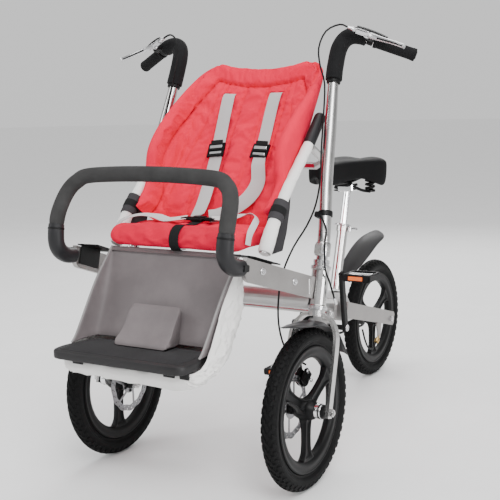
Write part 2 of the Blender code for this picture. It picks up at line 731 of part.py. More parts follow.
def crank_arm(sign):
    x = sign * CRANK_OFFSET
    tip = crank_tip(sign)
    middle = (BOTTOM_BRACKET + tip) / 2 + Vector((x, 0, 0))
    matrix = axes_matrix(middle, tip - BOTTOM_BRACKET, (0, 1, 0))
    arm = block("arm", (CRANK_LENGTH + 0.022, 0.024, 0.013), matrix, 0.003)
    return arm


def pedal_spindle(sign):
    tip = crank_tip(sign)
    inner, outer = tip + Vector((sign * (CRANK_OFFSET - 0.004), 0, 0)), tip + Vector((sign * 0.190, 0, 0))
    return rod("spindle", inner, outer, 0.0045, 12)


def crankset():
    """Right crank, spindle and chainring, fixed together."""
    ring_centre = BOTTOM_BRACKET + Vector((CHAIN_LINE, 0, 0))
    ring = rod("ring", ring_centre - Vector((0.0015, 0, 0)), ring_centre + Vector((0.0015, 0, 0)), CHAINRING_RADIUS, 32)
    spindle = rod("spindle", BOTTOM_BRACKET - Vector((0.088, 0, 0)), BOTTOM_BRACKET + Vector((0.0795, 0, 0)), 0.0085, 16)
    part(join(spindle, ring, crank_arm(-1), pedal_spindle(-1)), "crankset", "black_metal", BOTTOM_BRACKET)


def crank_left():
    part(join(crank_arm(1), pedal_spindle(1)), "crank_left", "black_metal", BOTTOM_BRACKET)


def pedal(name, sign):
    """A rectangular cage pedal, bored for its spindle."""
    tip = crank_tip(sign)
    centre = tip + Vector((sign * PEDAL_OFFSET, 0, 0))
    body = block("pedal", (0.094, 0.088, 0.024), Matrix.Translation(centre), 0.005)
    for y in (-0.026, 0.026):
        window = block("window", (0.066, 0.024, 0.05), Matrix.Translation(centre + Vector((0, y, 0))))
        body = cut(body, window)
    bore = rod("bore", tip, tip + Vector((sign * 0.25, 0, 0)), 0.0050, 12)
    part(cut(body, bore), f"pedal_{name}", "black_plastic", centre)


def rear_sprocket():
    centre = REAR_HUB + Vector((CHAIN_LINE, 0, 0))
    profile = [(SPROCKET_RADIUS, 0.0015), (SPROCKET_RADIUS, -0.0015), (AXLE_BORE, -0.0015), (AXLE_BORE, 0.0015)]
    part(turned("sprocket", profile, centre, (1, 0, 0), 24), "rear_sprocket", "black_metal", REAR_HUB)


def chain():
    """The closed chain loop round chainring and sprocket."""
    front, rear = BOTTOM_BRACKET, REAR_HUB
    big = CHAINRING_RADIUS + CHAIN_RADIUS + CHAIN_GAP
    small = SPROCKET_RADIUS + CHAIN_RADIUS + CHAIN_GAP
    run = rear - front
    lean = math.atan2(run.z, run.y)
    spread = math.acos((big - small) / run.length)
    path = []
    for step in range(13):
        angle = lean + spread + (2 * math.pi - 2 * spread) * step / 12
        path.append(front + Vector((CHAIN_LINE, math.cos(angle) * big, math.sin(angle) * big)))
    for step in range(9):
        angle = lean - spread + 2 * spread * step / 8
        path.append(rear + Vector((CHAIN_LINE, math.cos(angle) * small, math.sin(angle) * small)))
    part(tube("chain", path, CHAIN_RADIUS, 0, cyclic=True), "chain", "black_metal")


# Saddle


SADDLE_STATIONS = [
    (0.624, 0.010, 0.741, 0.026),
    (0.640, 0.024, 0.748, 0.046),
    (0.700, 0.032, 0.752, 0.054),
    (0.770, 0.042, 0.755, 0.056),
    (0.830, 0.068, 0.757, 0.058),
    (0.880, 0.094, 0.759, 0.064),
    (0.922, 0.103, 0.760, 0.068),
    (0.952, 0.090, 0.758, 0.058),
    (0.966, 0.056, 0.752, 0.038),
]


def saddle_and_post():
    """The post with its rail clamp, and the saddle on its two rails."""
    top = SEAT_TUBE_TOP + SEAT_TUBE_UP * 0.120
    post = rod("post", SEAT_TUBE_TOP - SEAT_TUBE_UP * 0.110, top, SEAT_POST_RADIUS, 20)
    clamp = block("clamp", (0.052, 0.046, 0.024), Matrix.Translation(top + Vector((0, 0.003, 0.008))), 0.003)
    part(join(post, clamp), "seat_post", "chrome", SEAT_TUBE_TOP)
    sections = []
    for y, half, top_z, deep in SADDLE_STATIONS:
        section = []
        for step in range(14):
            angle = 2 * math.pi * step / 14
            section.append((half * math.cos(angle), y, top_z - deep / 2 + deep / 2 * math.sin(angle)))
        sections.append(section)
    rails = []
    for side in SIDES.values():
        route = [(side * 0.012, 0.665, 0.722), (side * 0.021, 0.735, 0.6870), (side * 0.022, 0.885, 0.6870),
                 (side * 0.030, 0.935, 0.715)]
        rails.append(tube("rail", smooth(route, 3), 0.0035, 1))
    part(join(loft("saddle", sections), *rails), "saddle", "black_plastic", SEAT_TUBE_TOP)


def seatpost_lever():
    """The quick-release lever beside the seat tube's collar."""
    hinge = SEAT_TUBE_TOP - SEAT_TUBE_UP * 0.0095 + Vector((0.0265, -0.004, 0))
    boss = rod("boss", hinge - SEAT_TUBE_UP * 0.008, hinge + SEAT_TUBE_UP * 0.008, 0.0052, 12)
    handle = tube("handle", smooth([hinge, hinge + Vector((0.006, 0.022, 0.000)), hinge + Vector((0.002, 0.048, -0.004))], 2),
                  0.0042, 1)
    part(join(boss, handle), "seatpost_lever", "silver", hinge)


# Bumper bar

BAR_PIVOT = ARM_FRONT - ARM_AHEAD * ARM_HEIGHT / 2
BAR_HALF = [
    (0.2430, -0.2118, 0.5775),
    (0.2410, -0.2440, 0.5835),
    (0.2400, -0.2690, 0.6010),
    (0.2405, -0.2760, 0.6300),
    (0.2415, -0.2640, 0.6830),
    (0.2340, -0.2380, 0.7330),
    (0.2130, -0.2205, 0.7620),
    (0.1700, -0.2140, 0.7765),
    (0.0000, -0.2140, 0.7825),
]
BAR_STEPS = [2, 2, 2, 1, 2, 3, 3, 1]
BAR_SPLIT = 7


def bumper_bar():
    """A bent bar with thick moulded ends, and a foam sleeve over the hand rail."""
    half = smooth(BAR_HALF, BAR_STEPS)
    path = half + [mirrored(p, -1) for p in half[-2::-1]]
    split = BAR_SPLIT
    foam_path = path[split : len(path) - split]
    bare = 0.0130
    radii = [0.0195] * split + [bare] * len(foam_path) + [0.0195] * split
    bar = tube("bar", path, 0.0195, 3, radii=radii)
    pivot = Vector((0, BAR_PIVOT.y, BAR_PIVOT.z))
    part(bar, "bumper_bar", "grey_plastic", pivot)
    inner = foam_path[1:-1]
    foam = sleeve("foam", inner, bare + SLEEVE_GAP, 0.0185 - bare - SLEEVE_GAP)
    part(foam, "bumper_foam", "foam", pivot)


# Child seat


def back_point(x, up, forward):
    return BACK_FOOT + BACK_UP * up + BACK_FORWARD * forward + Vector((x, 0, 0))


def seat_back():
    """A reclined back with two deep side wings and round top corners, as one padded shell."""
    stations = [(-0.020, 0.098, 0.194), (0.050, 0.085, WING_X), (0.116, 0.118, WING_X), (0.180, 0.118, WING_X),
                (0.243, 0.102, WING_X), (0.330, 0.072, WING_X), (0.405, 0.036, 0.195), (0.446, 0.014, 0.180),
                (0.468, 0.010, 0.150)]
    rows = []
    for up, wing, half in stations:
        bend = min(0.012, wing * 0.4)
        profile = [(half, wing), (half, wing * 0.55 + bend * 0.45), (half - 0.018, bend), (0.110, 0)]
        row = [(-x, f) for x, f in profile] + [(0, 0)] + profile[::-1]
        rows.append([back_point(x, up, f) for x, f in row])
    part(shell("back", rows, 0.022, 0), "seat_back_pad", "red_fabric")


def seat_cushion():
    """The cushion, thicker at its front roll."""
    outline = [(-0.112, 0.592), (-0.140, 0.602), (-0.146, 0.620), (-0.136, 0.640), (-0.108, 0.648), (-0.060, 0.640),
               (0.048, 0.636), (0.052, 0.604), (-0.060, 0.600)]
    part(side_plate("cushion", outline, 0, 0.368), "seat_cushion", "red_fabric")


def seat_frame():
    """Two side tubes and a cross tube that carry the back and stand on the brackets."""
    spine = [(-0.072, 0.588), (-0.020, 0.660), (0.060, 0.745), (0.160, 0.835), (0.222, 0.898)]
    tubes = [tube("side", smooth([(side * SEAT_TUBE_X, y, z) for y, z in spine], 2), 0.0125, 2)
             for side in SIDES.values()]
    low, high = (-SEAT_TUBE_X, 0.160, 0.835), (SEAT_TUBE_X, 0.160, 0.835)
    rear = Vector((0, 0.100, -0.060))
    bow = smooth([low, Vector(low) + rear + Vector((0.03, 0, 0)), Vector(high) + rear - Vector((0.03, 0, 0)), high],
                 [3, 1, 3])
    part(join(tubes[0], tube("bow", bow, 0.0100, 1), tubes[1]), "seat_frame", "silver")


LEG_STATIONS = [
    (-0.128, 0.586, 0.010),
    (-0.160, 0.510, 0.036),
    (-0.192, 0.450, 0.050),
    (-0.216, 0.400, 0.056),
]


def leg_panel():
    """A shallow scoop behind the child's calves."""
    rows = []
    for y, z, rim in LEG_STATIONS:
        ahead = Vector((0, -0.97, -0.12)).normalized() * rim
        taper = 0.186 - (0.586 - z) * 0.10
        row = [Vector((-taper, y, z)) + ahead, Vector((-taper + 0.006, y, z)) + ahead * 0.4,
               Vector((-taper + 0.026, y, z)), Vector((0, y, z)), Vector((taper - 0.026, y, z)),
               Vector((taper - 0.006, y, z)) + ahead * 0.4, Vector((taper, y, z)) + ahead]
        rows.append(row)
    part(shell("panel", rows, 0.005, 0), "leg_panel", "grey_panel")


def calf_block():
    outline = [(-0.266, 0.3840), (-0.2260, 0.3840), (-0.1990, 0.4560), (-0.2060, 0.4660)]
    part(side_plate("wedge", outline, 0, 0.132), "calf_block", "grey_panel")


def footrest():
    """A thick board with round front corners."""
    front, back = FOOTREST_FRONT_Y, -0.228
    half = [(0.150, back), (0.170, back - 0.026), (0.188, front + 0.060), (0.189, front + 0.030), (0.184, front + 0.014),
            (0.174, front + 0.004), (0.160, front)]
    outline = half + [(-x, y) for x, y in half[::-1]]
    part(plate("board", outline, 0.022, Matrix.Translation((0, 0, 0.3715))), "footrest", "black_plastic")


def basket_cover():
    """The fabric cover that hangs behind the leg panel and under the footrest."""
    outline = [(-0.118, 0.574), (-0.112, 0.540), (-0.130, 0.438), (-0.176, 0.376), (-0.236, 0.332), (-0.300, 0.308),
               (-0.336, 0.318), (-0.336, 0.354), (-0.214, 0.354), (-0.207, 0.395), (-0.182, 0.450), (-0.148, 0.514)]
    part(side_plate("cover", outline, 0, 0.350), "basket_cover", "white_fabric")


def harness_buckle():
    centre = Vector((-0.018, -0.012, 0.6535))
    part(block("buckle", (0.068, 0.034, 0.014), Matrix.Translation(centre), 0.004), "harness_buckle", "black_plastic")


# Brake cables


def brake_cable(name, side):
    """From the lever mount in a loop over the bend, down the stem and past the side arm to the caliper."""
    start = LEVER_PIVOT - HANDLE_OUT * 0.0305
    route = [start, start - HANDLE_OUT * 0.020, (0.262, 0.258, 1.134), (0.232, 0.240, 1.118), (0.2180, 0.226, 1.076),
             (0.2250, 0.220, 1.030), (0.2370, 0.220, 0.985), (0.2450, 0.196, 0.905), (0.2530, 0.166, 0.820),
             (0.2620, 0.142, 0.752), (0.2640, 0.112, 0.690), (0.2560, 0.078, 0.640), (0.2380, 0.040, 0.590),
             (0.2220, 0.014, 0.530), (0.2140, 0.006, 0.470), (0.2100, 0.012, 0.400), (0.2120, 0.040, 0.335),
             (0.2300, 0.072, 0.300), (0.2480, 0.082, 0.2870)]
    path = [mirrored(p, side) for p in smooth(route, 3)]
    part(tube("cable", path, CABLE_RADIUS, 1), f"brake_cable_{name}", "black_plastic", steer_point(side, 0))


def build():
    crossbeam()
    main_beam()
    bike_seat_tube()
    rear_mudguard()
    rear_axle()
    for name, side in SIDES.items():
        head_tube(name, side)
        rear_arm(name, side)
        side_arm(name, side)
        seat_bracket(name, side)
        fork(name, side)
        front_mudguard(name, side)
        caliper(name, side)
        stem(name, side)
        handle_covers(name, side)
        lever_mount(name, side)
        brake_lever(name, side)
        tyre(f"tyre_{name}", wheel_centre(side))
        cast_wheel(f"wheel_{name}", wheel_centre(side))
        rotor(name, side)
        pedal(name, side)
        brake_cable(name, side)
    tie_rod()
    tyre("tyre_rear", REAR_HUB)
    cast_wheel("wheel_rear", REAR_HUB, SPROCKET_SIDE_HUB)
    rear_sprocket()
    crankset()
    crank_left()
    chain()
    saddle_and_post()
    seatpost_lever()
    bumper_bar()
    seat_back()
    seat_cushion()
    seat_frame()
    leg_panel()
    calf_block()
    footrest()
    basket_cover()
    harness_buckle()


build()
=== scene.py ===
"""Looks for the stroller tricycle: camera, floor, light, materials and the fine pieces.

Lengths are in metres in the row frame. The child faces -Y and +X is the child's left.
"""

import math

import bmesh
import bpy
from mathutils import Matrix, Vector, noise


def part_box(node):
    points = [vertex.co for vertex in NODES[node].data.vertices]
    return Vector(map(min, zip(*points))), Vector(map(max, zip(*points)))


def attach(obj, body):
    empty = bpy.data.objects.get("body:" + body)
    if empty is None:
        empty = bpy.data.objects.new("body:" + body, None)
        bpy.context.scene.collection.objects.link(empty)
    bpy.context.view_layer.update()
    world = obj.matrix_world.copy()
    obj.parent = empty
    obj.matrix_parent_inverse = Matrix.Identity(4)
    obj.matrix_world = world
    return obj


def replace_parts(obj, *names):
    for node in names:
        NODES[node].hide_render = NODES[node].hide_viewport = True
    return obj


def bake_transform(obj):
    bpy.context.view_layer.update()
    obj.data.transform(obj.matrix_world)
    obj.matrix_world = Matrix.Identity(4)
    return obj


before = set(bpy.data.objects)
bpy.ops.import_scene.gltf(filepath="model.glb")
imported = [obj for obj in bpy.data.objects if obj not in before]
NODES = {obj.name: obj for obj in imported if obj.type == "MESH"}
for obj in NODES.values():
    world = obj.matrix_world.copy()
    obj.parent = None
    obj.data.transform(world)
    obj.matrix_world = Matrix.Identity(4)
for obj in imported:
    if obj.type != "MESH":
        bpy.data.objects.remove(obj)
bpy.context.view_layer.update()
SIDES = {"left": 1, "right": -1}

# The middle of the whole length lies this far behind the front axle
SHIFT = 0.4335


def V(x, y, z):
    return Vector((x, y, z))


def P(x, y, z):
    """A point given from the ground below the front axle, in the row frame."""
    return V(x, y - SHIFT, z)


at = Matrix.Translation


def both_sides(names):
    """Names in a row, where a star stands for left and for right."""
    return [name.replace("*", side) for name in names.split() for side in (SIDES if "*" in name else [""])]


# Camera


def make_camera():
    azimuth, elevation, roll = math.radians(30.896), math.radians(8.317), math.radians(-1.076)
    right = V(math.cos(azimuth), math.sin(azimuth), 0)
    up = V(-math.sin(azimuth) * math.sin(elevation), math.cos(azimuth) * math.sin(elevation),
           math.cos(elevation))
    back = right.cross(up)
    tilted_right = right * math.cos(roll) + up * math.sin(roll)
    tilted_up = up * math.cos(roll) - right * math.sin(roll)
    data = bpy.data.cameras.new("camera")
    data.lens = 72.7
    data.sensor_width = 36
    data.sensor_fit = "HORIZONTAL"
    data.clip_start = 0.1
    data.clip_end = 60
    camera = bpy.data.objects.new("camera", data)
    bpy.context.scene.collection.objects.link(camera)
    matrix = Matrix((tilted_right, tilted_up, back)).transposed().to_4x4()
    matrix.translation = P(1.4005, -2.1086, 0.9428)
    camera.matrix_world = matrix
    bpy.context.scene.camera = camera


make_camera()


# Node helpers


def rgba(value):
    """A colour of three numbers made opaque, and anything else as it is."""
    return (*value, 1) if isinstance(value, tuple) and len(value) == 3 else value


class Graph:
    """A short way to write a material's nodes."""

    def __init__(self, name):
        self.material = bpy.data.materials.new(name)
        self.material.use_nodes = True
        self.tree = self.material.node_tree
        self.shader = self.tree.nodes["Principled BSDF"]
        self.coords = self.tree.nodes.new("ShaderNodeTexCoord")

    def node(self, kind, inputs=None, **settings):
        node = self.tree.nodes.new("ShaderNode" + kind)
        for key, value in settings.items():
            setattr(node, key, value)
        for key, value in (inputs or {}).items():
            self.put(node.inputs[key], value)
        return node

    def put(self, socket, value):
        if isinstance(value, bpy.types.NodeSocket):
            self.tree.links.new(value, socket)
        else:
            socket.default_value = value

    def noise(self, scale, detail=4, rough=0.55, stretch=None):
        return self.node("TexNoise", {"Vector": self.place(stretch), "Scale": scale, "Detail": detail,
                                      "Roughness": rough}).outputs["Fac"]

    def place(self, stretch=None):
        """Object coordinates, stretched along the axes where asked."""
        if stretch is None:
            return self.coords.outputs["Object"]
        return self.node("Mapping", {"Vector": self.coords.outputs["Object"],
                                     "Scale": stretch}).outputs["Vector"]

    def span(self, value, low, high, start=0.0, end=1.0):
        return self.node("MapRange", {"Value": value, "From Min": start, "From Max": end, "To Min": low,
                                      "To Max": high}).outputs["Result"]

    def maths(self, operation, a, b=0.0):
        node = self.node("Math", operation=operation)
        self.put(node.inputs[0], a)
        self.put(node.inputs[1], b)
        return node.outputs["Value"]

    def mix(self, factor, a, b):
        node = self.node("Mix", data_type="RGBA")
        self.put(node.inputs["Factor"], factor)
        self.put(node.inputs["A"], rgba(a))
        self.put(node.inputs["B"], rgba(b))
        return node.outputs["Result"]

    def bump(self, height, strength, distance, normal=None):
        node = self.node("Bump", {"Height": height, "Strength": strength, "Distance": distance})
        if normal is not None:
            self.put(node.inputs["Normal"], normal)
        return node.outputs["Normal"]


def set_inputs(graph, values):
    for key, value in values.items():
        graph.put(graph.shader.inputs[key], rgba(value))
    return graph.material


def shade(colour, factor):
    return tuple(min(1.0, c * factor) for c in colour)


def metal(name, colour, roughness, grain=(1, 1, 1), spread=0.1):
    """Bare or anodised metal with fine stretched grain and faint handling marks."""
    g = Graph(name)
    fine = g.noise(900.0, 3, 0.6, grain)
    smears = g.noise(14, 4, 0.6)
    tone = g.mix(g.span(smears, 0, 1, 0.35, 0.7), shade(colour, 0.9), shade(colour, 1.06))
    rough = g.span(g.maths("ADD", g.maths("MULTIPLY", fine, 0.5), g.maths("MULTIPLY", smears, 0.5)),
                   roughness - spread, roughness + spread, 0.3, 0.7)
    return set_inputs(g, {"Base Color": tone, "Roughness": rough, "Metallic": 1.0,
                          "Normal": g.bump(fine, 0.1, 0.0003)})


def plastic(name, colour, roughness, grain=700.0, depth=0.25, gloss=0.28, coat=0.0):
    """Moulded plastic with a fine spark-eroded grain and slight wear in tone."""
    g = Graph(name)
    fine = g.noise(grain, 3, 0.6)
    broad = g.noise(9, 4, 0.6)
    tone = g.mix(g.span(broad, 0, 1, 0.35, 0.7), shade(colour, 0.85), shade(colour, 1.18))
    rough = g.span(broad, roughness - 0.07, roughness + 0.08, 0.3, 0.7)
    return set_inputs(g, {"Base Color": tone, "Roughness": rough, "Coat Weight": coat,
                          "Specular IOR Level": gloss,
                          "Normal": g.bump(fine, depth, 0.0003)})


def foam(name, colour):
    """Closed-cell foam: small pores over soft rubber."""
    g = Graph(name)
    cells = g.node("TexVoronoi", {"Vector": g.place(), "Scale": 620.0}).outputs["Distance"]
    fine = g.noise(1500, 2)
    broad = g.noise(18, 3)
    tone = g.mix(g.span(broad, 0, 1, 0.35, 0.7), shade(colour, 0.85), shade(colour, 1.25))
    normal = g.bump(fine, 0.3, 0.0003, g.bump(cells, 0.35, 0.0006))
    return set_inputs(g, {"Base Color": tone, "Roughness": 0.82, "Specular IOR Level": 0.13,
                          "Sheen Weight": 0.02,
                          "Sheen Roughness": 0.5, "Normal": normal})


def weave(g, scale):
    """A plain weave's height from two crossed sets of threads, 0 to 1."""
    parts = g.node("SeparateXYZ", {"Vector": g.coords.outputs["Object"]}).outputs
    warp = g.maths("SINE", g.maths("MULTIPLY", parts["X"], scale))
    weft = g.maths("SINE", g.maths("MULTIPLY", parts["Z"], scale))
    return g.span(g.maths("MULTIPLY", warp, weft), 0, 1, -1, 1)


def fabric(name, colour, scale=2600.0, mottle=0.16, wrinkle=0.5):
    """Woven polyester: thread relief, soft wrinkles and slight variation of tone."""
    g = Graph(name)
    threads = weave(g, scale)
    broad = g.noise(11, 5, 0.6)
    soft = g.noise(26, 4, 0.55)
    fuzz = g.noise(480, 3, 0.6)
    tone = g.mix(g.span(broad, 0, 1, 0.3, 0.7), shade(colour, 1 - mottle), shade(colour, 1 + mottle))
    tone = g.mix(g.span(threads, 0, 0.22), tone, shade(colour, 0.72))
    normal = g.bump(soft, wrinkle, 0.004)
    normal = g.bump(fuzz, 0.2, 0.0006, normal)
    normal = g.bump(threads, 0.45, 0.0005, normal)
    return set_inputs(g, {"Base Color": tone, "Roughness": 0.86, "Sheen Weight": 0.0, "Sheen Roughness": 0.45,
                          "Specular IOR Level": 0.18, "Sheen Tint": shade(colour, 1.3), "Normal": normal})


M = {
    "silver": metal("silver_tube", (0.54, 0.535, 0.53), 0.25, (1, 1, 6), 0.05),
    "beam": metal("beam_tube", (0.52, 0.515, 0.51), 0.46, (1, 1, 6), 0.06),
    "arm": metal("brushed_arm", (0.35, 0.335, 0.327), 0.4, (1, 0.03, 1), 0.09),
    "steel": metal("bright_steel", (0.62, 0.62, 0.63), 0.24, spread=0.06),
    "rotor": metal("rotor_steel", (0.26, 0.26, 0.27), 0.3, spread=0.05),
    "chrome": metal("chrome", (0.82, 0.82, 0.83), 0.09, spread=0.03),
    "black_metal": plastic("black_paint", (0.0035, 0.0035, 0.0038), 0.42, 900, 0.12, 0.17),
    "black": plastic("black_plastic", (0.0048, 0.0048, 0.0052), 0.45, gloss=0.18),
    "board": plastic("footrest_plastic", (0.0175, 0.0168, 0.0176), 0.48, 500, 0.35, 0.24),
    # The ribs' plastic is a lighter copy of the board's: a painted highlight standing in for the light their
    # tops catch
    "rib_painted_highlight": plastic("footrest_rib_painted_highlight", (0.03, 0.029, 0.0305), 0.42, 500, 0.35, 0.25),
    "dark": plastic("dark_grey_plastic", (0.0145, 0.0145, 0.0158), 0.42, 700, 0.25, 0.22),
    "panel": plastic("warm_grey_panel", (0.142, 0.124, 0.127), 0.58, 420, 0.45),
    "pad": foam("bumper_foam", (0.033, 0.0325, 0.0325)),
    "foam": foam("grip_foam", (0.0068, 0.0068, 0.0074)),
    "tyre": plastic("tyre_rubber", (0.0032, 0.0032, 0.0034), 0.6, 380, 0.4, 0.12),
    "red": fabric("coral_red_fabric", (0.73, 0.0024, 0.043), mottle=0.08, wrinkle=0.35),
    "grey_fabric": fabric("dark_grey_fabric", (0.036, 0.034, 0.037)),
    "white": fabric("white_fabric", (0.8, 0.79, 0.775), 2100, mottle=0.05),
    "nylon": fabric("thin_white_nylon", (0.8, 0.79, 0.775), 2100, mottle=0.05, wrinkle=1.0),
    "saddle": plastic("saddle_cover", (0.005, 0.005, 0.0054), 0.62, 260, 0.5, 0.08),
    "webbing": fabric("grey_webbing", (0.42, 0.41, 0.41), 3600, mottle=0.05, wrinkle=0.15),
    "pale_webbing": fabric("pale_webbing", (0.55, 0.53, 0.53), 3600, mottle=0.05, wrinkle=0.15),
    "black_webbing": fabric("black_webbing", (0.0085, 0.0085, 0.009), 3600, mottle=0.05, wrinkle=0.15),
    "piping": fabric("grey_piping", (0.24, 0.23, 0.23), 3200, mottle=0.05, wrinkle=0.1),
    "amber": plastic("amber_reflector", (0.8, 0.14, 0.005), 0.18, 900, 0.1, coat=0.6),
    "brass": metal("brass", (0.6, 0.4, 0.16), 0.35),
}

CAD_LOOKS = {
    "beam": "crossbeam main_beam",
    "silver": "head_tube_* bike_seat_tube fork_* stem_* tie_rod seat_frame",
    "arm": "rear_arm_* side_arm_*",
    "steel": "rear_axle brake_lever_* seatpost_lever",
    "rotor": "brake_rotor_*",
    "chrome": "seat_post",
    "black_metal": "seat_bracket_* brake_caliper_* lever_mount_* wheel_* wheel_rear rear_sprocket crankset "
                   "crank_left chain",
    "black": "pedal_* harness_buckle brake_cable_*",
    "board": "footrest rear_mudguard",
    "dark": "front_mudguard_* bumper_bar",
    "panel": "leg_panel calf_block",
    "foam": "foam_cover_* grip_*",
    "pad": "bumper_foam",
    "tyre": "tyre_* tyre_rear",
    "red": "seat_back_pad seat_cushion",
    "nylon": "basket_cover",
    "saddle": "saddle",
}


def dress_cad():
    for look, names in CAD_LOOKS.items():
        for name in both_sides(names):
            obj = NODES[name]
            if not obj.material_slots:
                obj.data.materials.append(M[look])
            for slot in obj.material_slots:
                slot.material = M[look]


dress_cad()


# Floor and light


def make_stage():
    """A flat pale floor that reaches the horizon."""
    g = Graph("pale_floor")
    speck = g.noise(5, 3)
    tone = g.mix(g.span(speck, 0, 1, 0.35, 0.7), (0.84, 0.84, 0.84), (0.86, 0.86, 0.86))
    material = set_inputs(g, {"Base Color": tone, "Roughness": 0.85})
    bm = bmesh.new()
    bmesh.ops.create_circle(bm, cap_ends=True, segments=64, radius=45)
    mesh = bpy.data.meshes.new("floor")
    bm.to_mesh(mesh)
    bm.free()
    floor = bpy.data.objects.new("floor", mesh)
    floor.location = (0, 0, -0.0008)
    mesh.materials.append(material)
    bpy.context.scene.collection.objects.link(floor)


def area_light(name, place, size, power, target=(0, 0, 0.55)):
    data = bpy.data.lights.new(name, "AREA")
    data.shape = "RECTANGLE"
    data.size, data.size_y = size
    data.energy = power
    light = bpy.data.objects.new(name, data)
    bpy.context.scene.collection.objects.link(light)
    light.location = place
    light.rotation_euler = (Vector(target) - Vector(place)).to_track_quat("-Z", "Y").to_euler()
    return light


def make_light():
    world = bpy.data.worlds.new("studio")
    world.use_nodes = True
    background = world.node_tree.nodes["Background"]
    nodes, links = world.node_tree.nodes, world.node_tree.links
    height = nodes.new("ShaderNodeSeparateXYZ")
    ramp = nodes.new("ShaderNodeValToRGB")
    links.new(nodes.new("ShaderNodeTexCoord").outputs["Generated"], height.inputs[0])
    links.new(height.outputs["Z"], ramp.inputs["Fac"])
    links.new(ramp.outputs["Color"], background.inputs["Color"])
    stops = ((0.0, 0.915), (0.1, 0.93), (0.32, 0.34), (0.6, 0.5), (1.0, 1.0))
    while len(ramp.color_ramp.elements) < len(stops):
        ramp.color_ramp.elements.new(0.5)
    for element, (place, tone) in zip(ramp.color_ramp.elements, stops):
        element.position = place
        element.color = (tone, tone, tone, 1)
    background.inputs["Strength"].default_value = 0.92
    bpy.context.scene.world = world
    sun = bpy.data.lights.new("window", "SUN")
    sun.energy = 1.3
    sun.angle = math.radians(60)
    window = bpy.data.objects.new("window", sun)
    window.rotation_euler = (math.radians(38), math.radians(14), math.radians(20))
    bpy.context.scene.collection.objects.link(window)
    area_light("key", (2.6, -3.2, 3.6), (1.6, 2.4), 150)
    area_light("fill", (-3.4, -2.6, 2.2), (1.4, 2.4), 60)
    area_light("top", (0, 0.4, 4.0), (2.6, 2.6), 80)
    area_light("rear", (-1.2, 3.6, 2.4), (2.0, 1.6), 60)
    strip = area_light("strip", (3.95, -1.35, 0.95), (0.7, 1.7), 70, (0, 0, 0.7))
    strip.visible_camera = False


make_stage()
make_light()


# Mesh helpers


def piece(name, bm, look, body, angle=35.0):
    """Turns a bmesh into a piece that rides on a body, or on none when no body is given."""
    bmesh.ops.recalc_face_normals(bm, faces=bm.faces)
    mesh = bpy.data.meshes.new(name)
    bm.to_mesh(mesh)
    bm.free()
    obj = bpy.data.objects.new(name, mesh)
    bpy.context.scene.collection.objects.link(obj)
    mesh.materials.append(M[look])
    mesh.shade_smooth()
    mesh.set_sharp_from_angle(angle=math.radians(angle))
    if body:
        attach(obj, body)
    return obj


def lerp(a, b, t):
    return a + (b - a) * t


def smooth(points, steps):
    """A Catmull-Rom curve through points of any dimension, with the given number of steps in each stretch."""
    pts = [Vector(p) for p in points]
    if isinstance(steps, int):
        steps = [steps] * (len(pts) - 1)
    ends = [2 * pts[0] - pts[1]] + pts + [2 * pts[-1] - pts[-2]]
    path = []
    for i, count in enumerate(steps):
        a, b, c, d = ends[i : i + 4]
        for step in range(count):
            t = step / count
            path.append(0.5 * (2 * b + (c - a) * t + (2 * a - 5 * b + 4 * c - d) * t**2
                               + (3 * b - a - 3 * c + d) * t**3))
    return path + [pts[-1]]


def resample(path, count):
    """The path as points an equal distance apart."""
    lengths = [0.0]
    for a, b in zip(path, path[1:]):
        lengths.append(lengths[-1] + (b - a).length)
    out, k = [], 0
    for i in range(count):
        at = lengths[-1] * i / (count - 1)
        while k < len(path) - 2 and lengths[k + 1] < at:
            k += 1
        span = lengths[k + 1] - lengths[k] or 1e-9
        out.append(path[k].lerp(path[k + 1], min(1.0, (at - lengths[k]) / span)))
    return out


def polar(radius, angle):
    return radius * math.cos(angle), radius * math.sin(angle)


def circle(radius, count=24):
    return [polar(radius, 2 * math.pi * i / count) for i in range(count)]


def slab(width, thick, round_off=0.45, count=3):
    """A flat section with round edges, for webbing and bars."""
    r = thick * round_off
    out = []
    for cx, cy, start in ((1, 1, 0), (-1, 1, 90), (-1, -1, 180), (1, -1, 270)):
        for i in range(count + 1):
            a = math.radians(start + 90 * i / count)
            out.append((cx * (width / 2 - r) + r * math.cos(a), cy * (thick / 2 - r) + r * math.sin(a)))
    return out


def frames(path, up=None):
    """A side and an up direction at each point of a path, without twist unless up is given."""
    out, last = [], None
    for i in range(len(path)):
        t = (path[min(i + 1, len(path) - 1)] - path[max(i - 1, 0)]).normalized()
        guide = up(i) if callable(up) else up
        if guide is None:
            guide = last if last is not None else (V(0, 0, 1) if abs(t.z) < 0.9 else V(0, 1, 0))
        last = (guide - t * guide.dot(t)).normalized()
        out.append((last.cross(t).normalized(), last))
    return out


def skin(bm, rows, closed=True):
    """Faces between rows of points. Closed rows are rings, with a cap on the first and on the last."""
    grid = [[bm.verts.new(p) for p in row] for row in rows]
    count = len(rows[0])
    for low, high in zip(grid, grid[1:]):
        for j in range(count if closed else count - 1):
            k = (j + 1) % count
            bm.faces.new((low[j], low[k], high[k], high[j]))
    if closed:
        bm.faces.new(grid[0])
        bm.faces.new(grid[-1])


def sweep_into(bm, path, section, scale=None, up=None):
    rows = []
    for i, (p, (side, top)) in enumerate(zip(path, frames(path, up))):
        k = 1.0 if scale is None else scale[i]
        ka, kb = k if isinstance(k, tuple) else (k, k)
        rows.append([p + side * (a * ka) + top * (b * kb) for a, b in section])
    skin(bm, rows)


def sweep(name, path, section, look, body, scale=None, up=None, angle=50.0):
    """A section swept along a path. The scale is a number, or one each way, for each point."""
    bm = bmesh.new()
    sweep_into(bm, path, section, scale, up)
    return piece(name, bm, look, body, angle)


def turn_matrix(centre, axis):
    """A frame at the centre whose Z runs along the axis."""
    turn = Vector(axis).to_track_quat("Z", "Y").to_matrix().to_4x4()
    return at(Vector(centre)) @ turn


